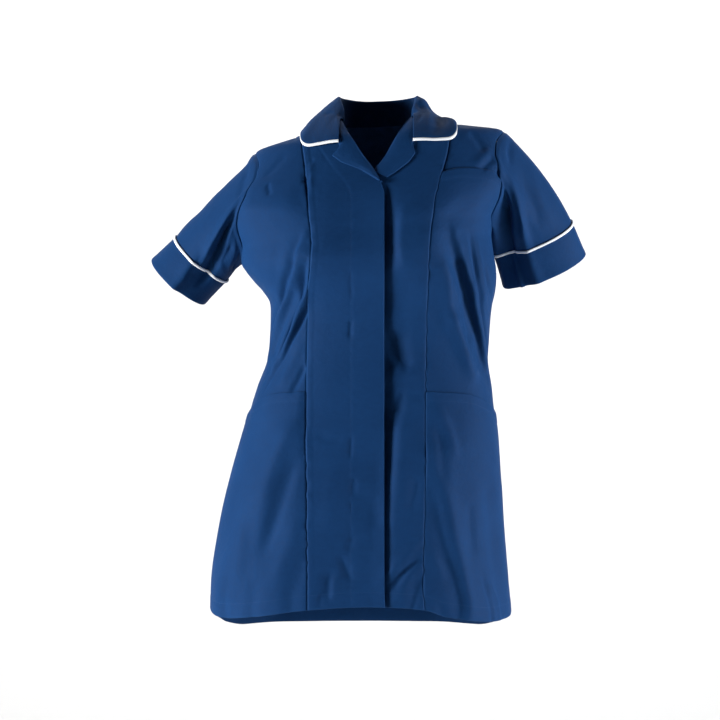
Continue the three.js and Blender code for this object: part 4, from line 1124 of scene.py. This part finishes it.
# ---- the pieces ----
# The cut of what shows of each sheet: flat width and length in metres, area in square metres, how it is held
# and what it rests on.
SHEETS = {
    "front_right": ((0.125, 0.745), 0.088, "draped", ["side_front_right"]),
    "front_left": ((0.11, 0.745), 0.077, "draped", ["side_front_left"]),
    "side_front_right": ((0.2, 0.735), 0.118, "draped", ["back"]),
    "side_front_left": ((0.205, 0.67), 0.118, "draped", ["back"]),
    "yoke_left": ((0.115, 0.115), 0.012, "draped", ["side_front_left"]),
    "hip_pocket_right": ((0.2, 0.345), 0.0645, "draped", ["side_front_right"]),
    "hip_pocket_left": ((0.2, 0.345), 0.0645, "draped", ["side_front_left"]),
    "back": ((0.56, 0.8), 0.405, "draped", ["side_front_right", "side_front_left"]),
    "sleeve_right": ((0.41, 0.13), 0.042, "draped", ["back"]),
    "cuff_right": ((0.35, 0.055), 0.0178, "folded", ["sleeve_right"]),
    "sleeve_left": ((0.41, 0.13), 0.042, "draped", ["back"]),
    "cuff_left": ((0.355, 0.062), 0.0202, "folded", ["sleeve_left"]),
    "lapel_right": ((0.045, 0.1), 0.0032, "folded", ["front_right"]),
    "lapel_left": ((0.045, 0.105), 0.0037, "folded", ["front_left"]),
    "collar": ((0.48, 0.1), 0.0435, "folded", ["back", "lapel_right", "lapel_left"]),
}
HEM_STITCH = 22  # how far each line of stitches is from its edge
FLY_STITCH = 50
FACING_STITCH = 32
CHEST_MOUTH_STITCH = 16
HIP_MOUTH_STITCH = 14
POCKET_HELD = 0.3  # the share of its lift that a pocket has beside its seams
POCKET_SAG = (-540, -440, 1.2)  # a pocket's mouth stands out further: from where, up to where and how much
sheets = {}  # each sheet's piece, and the pieces that go with it


def declare(piece, node):
    """Puts a piece on the body in place of its CAD solid, and keeps it if it is a sheet."""
    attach(piece, "root")
    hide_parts(node)
    if node in SHEETS:
        sheets[node] = (piece, [])


def make_panel(node, pairs, borders, stitched=(), stand=None):
    """A panel on the body, with its borders and its lines of stitches: side, distance, ends left free and the
    height that they stay below. It may stand off by an amount that depends on the grid and its places."""
    base, normals, lift, uv = on_body(pairs)
    if stand is not None:
        lift = lift + stand(pairs, base)
    points, thick, near = sew(base, normals, lift, borders)
    out = grid_normals(points, normals)
    declare(shell(node + "_cloth", points, out, thick, uv, near), node)
    lines = []
    for side, at, trim, top in stitched:
        rows = points[..., 2].mean(1) < top
        lines.append(stitch_places(points[rows], out[rows], side, at, trim))
    if lines:
        threads = thread_mesh("stitches_" + node, lines)
        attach(threads, "root")
        sheets[node][1].append(threads)


def stitch_row(side, at, trim=(2, 2), top=math.inf):
    """A line of stitches, whole unless it is said where it ends."""
    return side, at, trim, top


def make_fronts():
    fly = stitch_row("right", FLY_STITCH, (10, 4), BREAK_Z - 3)
    hem = stitch_row("bottom", HEM_STITCH)
    for name, width, seed, seam, edge, rows in (
        ("right", 113, 1, Border(1, 1.3, bulk=0.5), Border(2, 2.0, at=FLY_STITCH), [fly, hem]),
        ("left", 94, 4, Border(4, 1.1), Border(5, 0.3, at=FACING_STITCH), [hem]),
    ):
        side = SIDES[name]
        borders = {"left": seam, "right": edge, "bottom": Border(seed + 2, 0.5, at=HEM_STITCH)}
        make_panel(
            "front_" + name, centre_front(side, edge_steps(width, 2.4)), borders, rows,
            stand=lambda _pairs, base: overlap_lift(side, base[..., 0], base[..., 2]),
        )


def make_side_fronts():
    for name, side in SIDES.items():
        borders = {
            "left": Border(7 + side, 1.3),
            "right": Border(9 + side, 0.4),
            "bottom": Border(11 + side, 0.5, at=HEM_STITCH),
        }
        rows = []
        if side > 0:
            borders["top"] = Border(14, 0.3, at=CHEST_MOUTH_STITCH)
            rows = [stitch_row("top", CHEST_MOUTH_STITCH)]
        make_panel("side_front_" + name, side_front(side, edge_steps(175, 2.4)), borders, rows)


def make_yoke():
    lip = princess(1, MOUTH_STATION)[1]
    borders = {"left": Border(21, 0.4), "right": Border(22, 0.4)}
    make_panel(
        "yoke_left", yoke(edge_steps(120, 3.2)), borders,
        stand=lambda pairs, _base: -YOKE_DROP * step(-pairs[..., 1], -NECK_Z, -lip),
    )


def make_pockets():
    u = edge_steps(185, 3.2)
    held = lerp(POCKET_HELD, 1, step(np.minimum(u, 1 - u), 0, 0.07))
    low, high, sag = POCKET_SAG
    rows = [stitch_row("bottom", HEM_STITCH), stitch_row("top", HIP_MOUTH_STITCH)]
    for name, side in SIDES.items():
        borders = {
            "left": Border(31 + side, 1.3),
            "right": Border(33 + side, 0.4),
            "bottom": Border(35 + side, 0.5, at=HEM_STITCH),
            "top": Border(37 + side, 1.0, at=HIP_MOUTH_STITCH),
        }
        make_panel(
            "hip_pocket_" + name, hip_pocket(side, u), borders, rows,
            stand=lambda pairs, _base: held * (POCKET_LIFT + sag * step(pairs[..., 1], low, high)),
        )


def make_back():
    borders = {
        "left": Border(41, 0.4, bulk=0.4),
        "right": Border(42, 0.4, bulk=0.4),
        "bottom": Border(43, 0.5, at=HEM_STITCH),
        "top": Border(44, 0.2),
    }
    make_panel("back", back_panel(back_columns()), borders, [stitch_row("bottom", HEM_STITCH)])


# ---- sleeves, cuffs and their piping ----
ARM_RADIUS = 55
SLEEVE_LENGTH = 110
CUFF_LENGTH = 52
CUFF_START = SLEEVE_LENGTH + 3
CUFF_THICK = 1.9
CUFF_BLEND = (70, 112)  # the lengths between which the sleeve's creases soften towards the cuff
CUFF_CREASED = 0.45
CUFF_ROUGH = 0.5
# Creases of the sleeves: (height, half widths, places as angle round the arm and length from the armhole).
# Angle 0 is the top of the arm, 90 its front and 180 the underarm.
SLEEVE_CREASES = {
    -1: [
        (6, 10, 5, [(76, 6), (88, 40), (94, 60), (98, 79), (102, 99), (102, 135)]),
        (-21, 9, 7, [(98, 4), (108, 32), (117, 52), (121, 70), (124, 94), (127, 115), (129, 150)]),
        (2, 5, 5, [(123, 11), (138, 25), (146, 47), (150, 75)]),
        (-2.6, 3, 4, [(131, 24), (133, 49), (135, 78)]),
        (-5, 6, 6, [(142, 7), (156, 11), (168, 33), (172, 60)]),
        (-1.4, 3, 3, [(26, 13), (40, 15), (50, 17)]),
        (-1.6, 4, 4, [(40, 18), (56, 19), (73, 21)]),
        (1.4, 10, 10, [(9, 40), (9, 63), (9, 85), (12, 103)]),
        (-6.5, 26, 24, [(0, -8), (0, 30), (2, 65), (4, 104)]),
        (9, 12, 5, [(84, 88), (88, 108), (92, 128), (97, 145), (101, 200)]),
        (-13, 14, 34, [(112, 80), (113, 110), (116, 129), (119, 150), (122, 210)]),
        (-2.2, 8, 8, [(-60, 10), (-70, 70), (-72, 130)]),
        (2.5, 8, 8, [(-84, 15), (-92, 70), (-96, 140)]),
        (-3.6, 7, 8, [(-118, 5), (-124, 60), (-126, 130)]),
        (-3.6, 7, 7, [(-156, 5), (-160, 60), (-158, 120)]),
    ],
    1: [
        (-2.6, 4, 3, [(13, 6), (41, 14), (60, 22)]),
        (1.6, 4, 3, [(31, 6), (52, 11), (70, 15)]),
        (1.8, 9, 8, [(31, 31), (41, 50), (52, 68), (56, 85), (62, 103)]),
        (-1.8, 7, 8, [(54, 29), (62, 49), (70, 70), (78, 95)]),
        (7, 8, 6, [(64, 10), (82, 36), (95, 61), (104, 86), (108, 116), (108, 200)]),
        (-24, 10, 17, [(98, -4), (110, 22), (124, 43), (135, 71), (137, 110), (134, 160)]),
        (4, 3, 3, [(105, 29), (115, 26), (124, 26)]),
        (3, 3, 3, [(152, 1), (145, 32), (137, 54)]),
        (-6, 8, 6, [(140, 10), (147, 58), (152, 103), (153, 190)]),
        (-12, 12, 24, [(122, 80), (124, 112), (128, 140), (132, 210)]),
        (8, 4, 3.5, [(140, 96), (136, 132), (130, 200)]),
        (5.5, 14, 14, [(176, 0), (176, 45), (174, 80), (172, 130)]),
        (2.1, 8, 8, [(-58, 15), (-70, 70), (-74, 130)]),
        (-2.8, 8, 8, [(-90, 10), (-98, 70), (-102, 130)]),
        (-3.6, 7, 7, [(-140, 5), (-146, 60), (-148, 120)]),
    ],
}


def sleeve_axes(side):
    """The ways along a sleeve, out across it and to its front."""
    out, back = (math.radians(SLEEVES[side][name]) for name in ("out", "back"))
    axis = np.array([side * math.sin(out) * math.cos(back), math.sin(back), -math.cos(out) * math.cos(back)])
    front = np.array([0, -1.0, 0]) + axis * axis[1]
    return axis, np.array([side * math.cos(out), 0, math.sin(out)]), front / np.linalg.norm(front)


def arm_relief(side, turn, length):
    """The creases of a sleeve, which run on over its cuff more softly."""
    x, length = np.broadcast_arrays(turn * ARM_RADIUS, length)
    creases = unrolled(SLEEVE_CREASES[side], ARM_RADIUS)
    around = 2 * math.pi * ARM_RADIUS
    creased = sum(crease_height(x + shift, length, creases) for shift in (-around, 0, around))
    seed = SLEEVES[side]["seed"]
    rough = 0.7 * MIDDLE(np.abs(x) * 1.01 + seed, length) + 0.06 * FINE(np.abs(x) + seed, length)
    softer = step(length, *CUFF_BLEND)
    return creased * lerp(1, CUFF_CREASED, softer) + rough * lerp(1, CUFF_ROUGH, softer)


def armhole_seam(side):
    """The points of an armhole's seam and the turn of each round the arm, 0 on top and a quarter in front."""
    q = STATION_STEPS
    pairs = np.concatenate([armhole(side, q), armhole(side, q[1:-1], back=True)[::-1]])[None]
    base, normals, height, _uv = on_body(pairs)
    seam = (base + normals * (height - SEAM_DEPTH)[..., None])[0]
    lengths = lengths_along(np.concatenate([seam, seam[:1]]))
    tip, total, lengths = lengths[len(q) - 1], lengths[-1], lengths[:-1]
    return seam, math.pi * np.where(lengths <= tip, 1 - lengths / tip, -(lengths - tip) / (total - tip))


def make_sleeve(name):
    side = SIDES[name]
    sleeve = SLEEVES[side]
    axis, outer, front = sleeve_axes(side)
    seam, turn = armhole_seam(side)
    cosine, sine = column(np.cos(turn)), column(np.sin(turn))
    out = outer * cosine + front * sine

    def arm_ring(place, extra):
        centre, half, depth = place
        return centre + outer * (half + extra) * cosine + front * (depth + extra) * sine

    def tube(node, points, length, thick, edge):
        uv = np.stack(np.broadcast_arrays(turn * ARM_RADIUS, -length), -1)
        edge = np.broadcast_to(edge, points.shape[:2])
        normals = grid_normals(points, out, wrap=True)
        declare(shell(node + "_cloth", points, normals, thick, uv, edge, wrap=True), node)

    t = column(edge_steps(SLEEVE_LENGTH, 3.0, True, False))
    swell = (4 * t * (1 - t))[..., None]
    above, under = np.maximum(0, cosine), np.maximum(0, -cosine)
    points = lerp(seam, arm_ring(sleeve["top"], 0), t[..., None])
    points = points + outer * swell * (sleeve["fullness"] * above + sleeve["hollow"] * under)
    points = points + front * 0.3 * swell * sleeve["fullness"] * sine
    length = t * SLEEVE_LENGTH
    rise = SEAM_DEPTH * (1 - bell(length, 1.8)) * (1 - t) + 0.7 * step(length, 1, 3) * step(-length, -12, -8)
    rise = rise + 0.5 * pucker(turn * ARM_RADIUS, 51 + side) * bell(length - 4, 6)
    relief = arm_relief(side, turn, length) * step(length, 0, 14)
    tube("sleeve_" + name, points + out * (rise + relief)[..., None], length, CLOTH_THICK, bell(length, 2.2))

    t = column(edge_steps(CUFF_LENGTH, 2.4, False, True))
    length = CUFF_START + t * CUFF_LENGTH
    away = (1 - t) * CUFF_LENGTH
    top, end = arm_ring(sleeve["top"], CUFF_LIFT) + axis * 0.4, arm_ring(sleeve["end"], CUFF_LIFT)
    rise = arm_relief(side, turn, length) + fold_lift(away, 2.2) + 0.4 * bell(away - 4, 5)
    points = lerp(top, end, t[..., None]) + out * rise[..., None]
    tube("cuff_" + name, points, length, CUFF_THICK, bell(away, 2.0))

    relief = arm_relief(side, turn, float(CUFF_START))
    middle = arm_ring(sleeve["top"], CUFF_LIFT + 0.35 * PIPING_THICKNESS) + out * column(relief)
    make_piping("piping_cuff_" + name, middle, out, np.broadcast_to(axis, middle.shape), True)


def make_piping(node, middle, out, flat, closed):
    """An oval cord with a covering of bias-cut cotton, a little uneven along its length."""
    sides = 14
    lengths = lengths_along(middle)
    uneven = (1 + 0.05 * FINE(lengths) + 0.04 * MIDDLE(lengths, 9.0))[:, None, None]
    turn = 2 * math.pi * np.arange(sides) / sides
    thick, wide = column(np.cos(turn)) * PIPING_THICKNESS / 2, column(np.sin(turn)) * PIPING_WIDTH / 2
    points = middle[:, None] + (out[:, None] * thick + flat[:, None] * wide) * uneven
    index = wrapped(np.arange(len(middle) * sides).reshape(-1, sides))
    around = np.concatenate([index, index[:1]]) if closed else index
    vertices = points.reshape(-1, 3)
    faces = outward(vertices, quads(around)).tolist()
    if not closed:
        faces += [index[0, :-1][::-1].tolist(), index[-1, :-1].tolist()]
    uv = np.stack(np.broadcast_arrays(column(lengths), turn * 1.6), -1).reshape(-1, 2)
    declare(make_mesh(node + "_cord", vertices, faces, uv, WHITE), node)


# ---- revers ----
REVER_TOP = 0.995  # the share of the roll line where a rever starts, and on each side where it ends
REVER_LOWEST = {-1: 0.03, 1: 0.2}
FOLD_HALF = 1.5  # radius of the rolled fold
REVER_THICK = 1.5
CORNER_SHARE = 0.012  # of an outline, within which its corners are rounded


def corner_line(rows, t):
    """A table of points read as straight stretches with only slightly rounded corners."""
    return {
        name: sum(
            np.interp(np.clip(t + shift, 0, 1), np.linspace(0, 1, len(values)), values)
            for shift in (-CORNER_SHARE, 0, CORNER_SHARE)
        ) / 3
        for name, values in rows.items()
    }


def make_rever(name):
    side = SIDES[name]
    t = edge_steps(110, 1.6)
    u = edge_steps(26, 1.3, False, True)
    fold = along(ROLL[side], lerp(REVER_TOP, REVER_LOWEST[side], t))
    edge = corner_line(REVER[side], t)
    x, z = (lerp(column(fold[way]), column(edge[way]), u) for way in ("x", "z"))
    angle = angle_at(x, z)
    base, normals = body(angle, z), body_normal(angle, z)
    front = overlap_lift(side, base[..., 0], base[..., 2])
    away = np.linalg.norm(base - base[:, -1:], axis=-1)
    lift = front + lerp(2 * FOLD_HALF - 0.4, 2.6, u) + 7.2 * u * (1 - u)
    lift = lift + 0.35 * MIDDLE(x + 50 * side, z) + 0.1 * FINE(x, z)
    lift = lift + fold_lift(away, REVER_THICK) - 0.25 * bell(away - 5, 1.2)
    inward = unit(base[:, :1] - base[:, -1:] + 1e-6)
    radius = FOLD_HALF * step(away[:, :1], 0, 6)
    theta = np.radians(np.linspace(-90, 78, 9))[None]
    rise = front[:, :1] - 0.4 + FOLD_HALF * (1 + np.sin(theta))
    rolled = base[:, :1] + inward * (radius * np.cos(theta))[..., None] + normals[:, :1] * rise[..., None]
    points = np.concatenate([rolled, base + normals * lift[..., None]], axis=1)
    out = grid_normals(points, normals[:, -1:])
    across = lengths_in(points, 1)
    thick = np.minimum(REVER_THICK, 0.25 + 0.9 * across)
    thick[:, : theta.shape[1]] = 0.9
    node = "lapel_" + name
    near = bell(across[:, -1:] - across, 1.8)
    declare(shell(node + "_cloth", points, out, thick, grid(across, z[:, :1]), near), node)


# ---- collar ----
# Creases of the collar, placed by the length from its end on the wearer's left and from its seam.
COLLAR_CREASES = [
    (-3.2, 5, 6, [(14, 24), (26, 44), (40, 60), (58, 74)]),
    (2.2, 5, 6, [(24, 26), (38, 46), (54, 60), (72, 72)]),
    (1.6, 6, 6, [(10, 50), (22, 64), (34, 78)]),
    (-7, 18, 14, [(22, 66), (62, 76), (105, 80), (155, 80)]),
    (-9, 14, 15, [(20, 86), (60, 95), (95, 99), (130, 99), (180, 90)]),
    (-1.6, 6, 7, [(352, 50), (366, 62), (384, 74)]),
    (1.4, 8, 8, [(190, 48), (200, 66), (212, 90)]),
    (-1.4, 8, 8, [(262, 50), (256, 70), (248, 92)]),
]


def swelled(free, t, s, clearance):
    """Lifts the fall of the collar clear of the shoulders in one broad swelling, without a ridge."""
    far = np.linalg.norm(clear_of_body(free, clearance) - free, axis=-1)
    spread = np.max([row * bell(column(t - t[i]), 0.45) for i, row in enumerate(far)], axis=0)
    wide = np.max([spread[:, j : j + 1] * bell(s - s[j], 0.7) for j in range(len(s))], axis=0)
    way = normal_near(free)
    for _ in range(6):
        way[:, 1:-1] = (way[:, :-2] + 2 * way[:, 1:-1] + way[:, 2:]) / 4
        way[1:-1] = (way[:-2] + 2 * way[1:-1] + way[2:]) / 4
    return free + unit(way) * (wide * column(step(t, 0, 0.4)))[..., None]


def softened(points):
    """Evens the collar out along its length, apart from its ends."""
    points = points.copy()
    for _ in range(2):
        shifted = zip((1, 4, 6, 4, 1), range(-2, 3))
        points[:, 3:-3] = sum(share / 16 * np.roll(points, d, 1) for share, d in shifted)[:, 3:-3]
    return points


def collar_grid():
    """The collar's outer face from its seam up the stand, over the roll and down the fall to its edge."""
    stations = {name: np.concatenate([values, values[:-1][::-1]]) for name, values in COLLAR.items()}
    half = len(COLLAR["x"])
    stations["x"][:half] *= -1
    stations["angle"] = np.concatenate([-COLLAR["angle"], COLLAR["angle"][:-1][::-1] - 360])
    for end, shift in COLLAR_END_SHIFT.items():
        stations["x"][end] += shift
    last = 2.0 * half - 2
    s = edge_steps(420, 2.6) * last

    def at_ends(width, first_share=1, last_share=1):
        return first_share * bell(s, width) + last_share * bell(s - last, width)

    row = {name: smooth(np.arange(last + 1), values, s) for name, values in stations.items()}
    rim = body(np.radians(row["angle"]), np.full(s.shape, float(NECK_Z)))
    up = np.array([0, 0, 1.0])
    out = unit(rim * (1 - up))
    turned_out = at_ends(0.8, *COLLAR_END_OUT)
    base = rim - out * column(COLLAR_WALL + COLLAR_SEAM - turned_out) - up * COLLAR_TUCK
    crest = NECK_Z + row["roll"] + rim[:, 0] * ROLL_SLOPE
    crest = crest + 0.8 * WANDER(s * 25) - COLLAR_END_DROP * at_ends(0.6)
    height = crest - base[:, 2]
    pressed = step(np.minimum(s, last - s), -0.1, 0.9)  # the roll is pressed flat at its ends
    radius = column(np.minimum(ROLL_RADIUS, height / 2) * lerp(0.25, 1, pressed))
    shoulder = base + up * (COLLAR_TUCK + np.maximum(column(height) - COLLAR_TUCK - radius, 0.5))
    crown = shoulder + out * radius * ROLL_SPREAD + up * radius
    stand = lerp(base, shoulder, edge_steps(36, 2.6, True, False)[:-1, None, None])
    theta = np.radians(np.linspace(0, 90, 9))[:-1, None, None]
    roll = shoulder + out * radius * ROLL_SPREAD * (1 - np.cos(theta)) + up * radius * np.sin(theta)
    tip = np.stack([row["x"], row["y"], row["z"] + row["x"] * row["slope"]], -1)
    high, low = crown + out * np.minimum(4, radius), lerp(crown, tip, 0.55) + out * 3 + up * 4.5
    fall_steps = edge_steps(58, 2.2, False, True)
    t = fall_steps[:, None, None]
    fall = (1 - t) ** 3 * crown + 3 * (1 - t) ** 2 * t * high + 3 * (1 - t) * t * t * low + t**3 * tip
    clearance = column(COLLAR_CLEAR + COLLAR_CLEAR_ENDS * at_ends(2.0))
    fall = swelled(fall, fall_steps, s, np.broadcast_to(clearance, fall.shape[:2] + (1,)))
    return softened(np.concatenate([stand, roll, fall])), out


def make_collar():
    points, out = collar_grid()
    toward = np.zeros(points.shape)
    toward[-1] = out
    normals = grid_normals(points, toward)
    distances = border_distances(points)
    up, across = distances["bottom"]
    ends = np.minimum(distances["left"][0], distances["right"][0])
    edge = distances["top"][0]
    lift = 0.5 * MIDDLE(across + 300, up) + 0.08 * FINE(across, up)
    lift = lift + crease_height(across[:, -1:] - across, up, COLLAR_CREASES)
    lift = lift + fold_lift(ends, 1.6) - 0.9 * bell(edge, 1.3) + 0.25 * pucker(across, 61) * bell(edge - 3, 4)
    points = points + normals * lift[..., None]
    near = np.maximum(bell(ends, 1.8), bell(edge, 1.8))
    thick = np.minimum(1.7, 0.6 + 0.8 * np.minimum(ends, 2.0))
    declare(shell("collar_cloth", points, normals, thick, grid(across, up), near), "collar")
    flat = unit(points[-1] - points[-2])
    middle = points[-1] + flat * (0.36 * PIPING_WIDTH) - normals[-1] * 0.3
    make_piping("piping_collar", middle, normals[-1], flat, False)


# ---- make everything ----
make_fronts()
make_side_fronts()
make_yoke()
make_pockets()
make_back()
for side_name in SIDES:
    make_sleeve(side_name)
for side_name in SIDES:
    make_rever(side_name)
make_collar()


# ---- backdrop, light and camera ----
def make_stage():
    """A pale floor that curves up into a backdrop, in metres."""
    width, front, back, low, high, bend = 8.0, -4.0, 3.0, -1.40, 4.0, 1.5
    profile = [(front, low)]
    for turn in np.linspace(0, math.pi / 2, 13):
        profile.append((back - bend + bend * math.sin(turn), low + bend * (1 - math.cos(turn))))
    profile.append((back, high))
    vertices = [(x, y, z) for y, z in profile for x in (-width / 2, width / 2)]
    faces = [(2 * i, 2 * i + 1, 2 * i + 3, 2 * i + 2) for i in range(len(profile) - 1)]
    mesh = bpy.data.meshes.new("backdrop")
    mesh.from_pydata(vertices, [], faces)
    paper, tone = (0.62, 0.62, 0.62, 1), (0.6107, 0.6107, 0.6107, 1)
    mesh.materials.append(paper_material("backdrop_paper", tone, paper))
    for face in mesh.polygons:
        face.use_smooth = True
    backdrop = bpy.data.objects.new("backdrop", mesh)
    bpy.context.scene.collection.objects.link(backdrop)


def area_light(name, place, target, size, power, colour):
    light = bpy.data.lights.new(name, "AREA")
    light.shape = "RECTANGLE"
    light.size, light.size_y = size
    light.energy = power
    light.color = colour
    made = bpy.data.objects.new(name, light)
    made.location = place
    made.rotation_euler = (Vector(target) - Vector(place)).to_track_quat("-Z", "Y").to_euler()
    bpy.context.scene.collection.objects.link(made)


make_stage()
TARGET = (0, 0, -0.38)  # about the middle of the tunic
# Each light's name, place, target, size, power and colour.
for light_row in (
    ("left", (-2.78, -1.12, -0.3), TARGET, (1.0, 1.0), 172, (1.0, 0.99, 0.98)),
    ("right", (2.92, -0.6, -0.5), TARGET, (0.8, 1.0), 138, (0.98, 0.99, 1.0)),
    ("background", (0.0, 1.2, 2.4), (0, 3, -0.2), (4.0, 0.8), 125, (1, 1, 1)),
):
    area_light(*light_row)

world = bpy.data.worlds.new("studio")
world.use_nodes = True
world.node_tree.nodes["Background"].inputs["Color"].default_value = (1, 1, 1, 1)
world.node_tree.nodes["Background"].inputs["Strength"].default_value = 0.01
bpy.context.scene.world = world
bpy.context.scene.view_settings.view_transform = "Standard"

CAMERA_PLACE = (-0.028, -2.8, -0.356)
camera = bpy.data.cameras.new("camera")
camera.sensor_width = 36
camera.lens = 90.3
view = bpy.data.objects.new("camera", camera)
view.location = CAMERA_PLACE
view.rotation_euler = (math.radians(90), 0, 0)
bpy.context.scene.collection.objects.link(view)
bpy.context.scene.camera = view
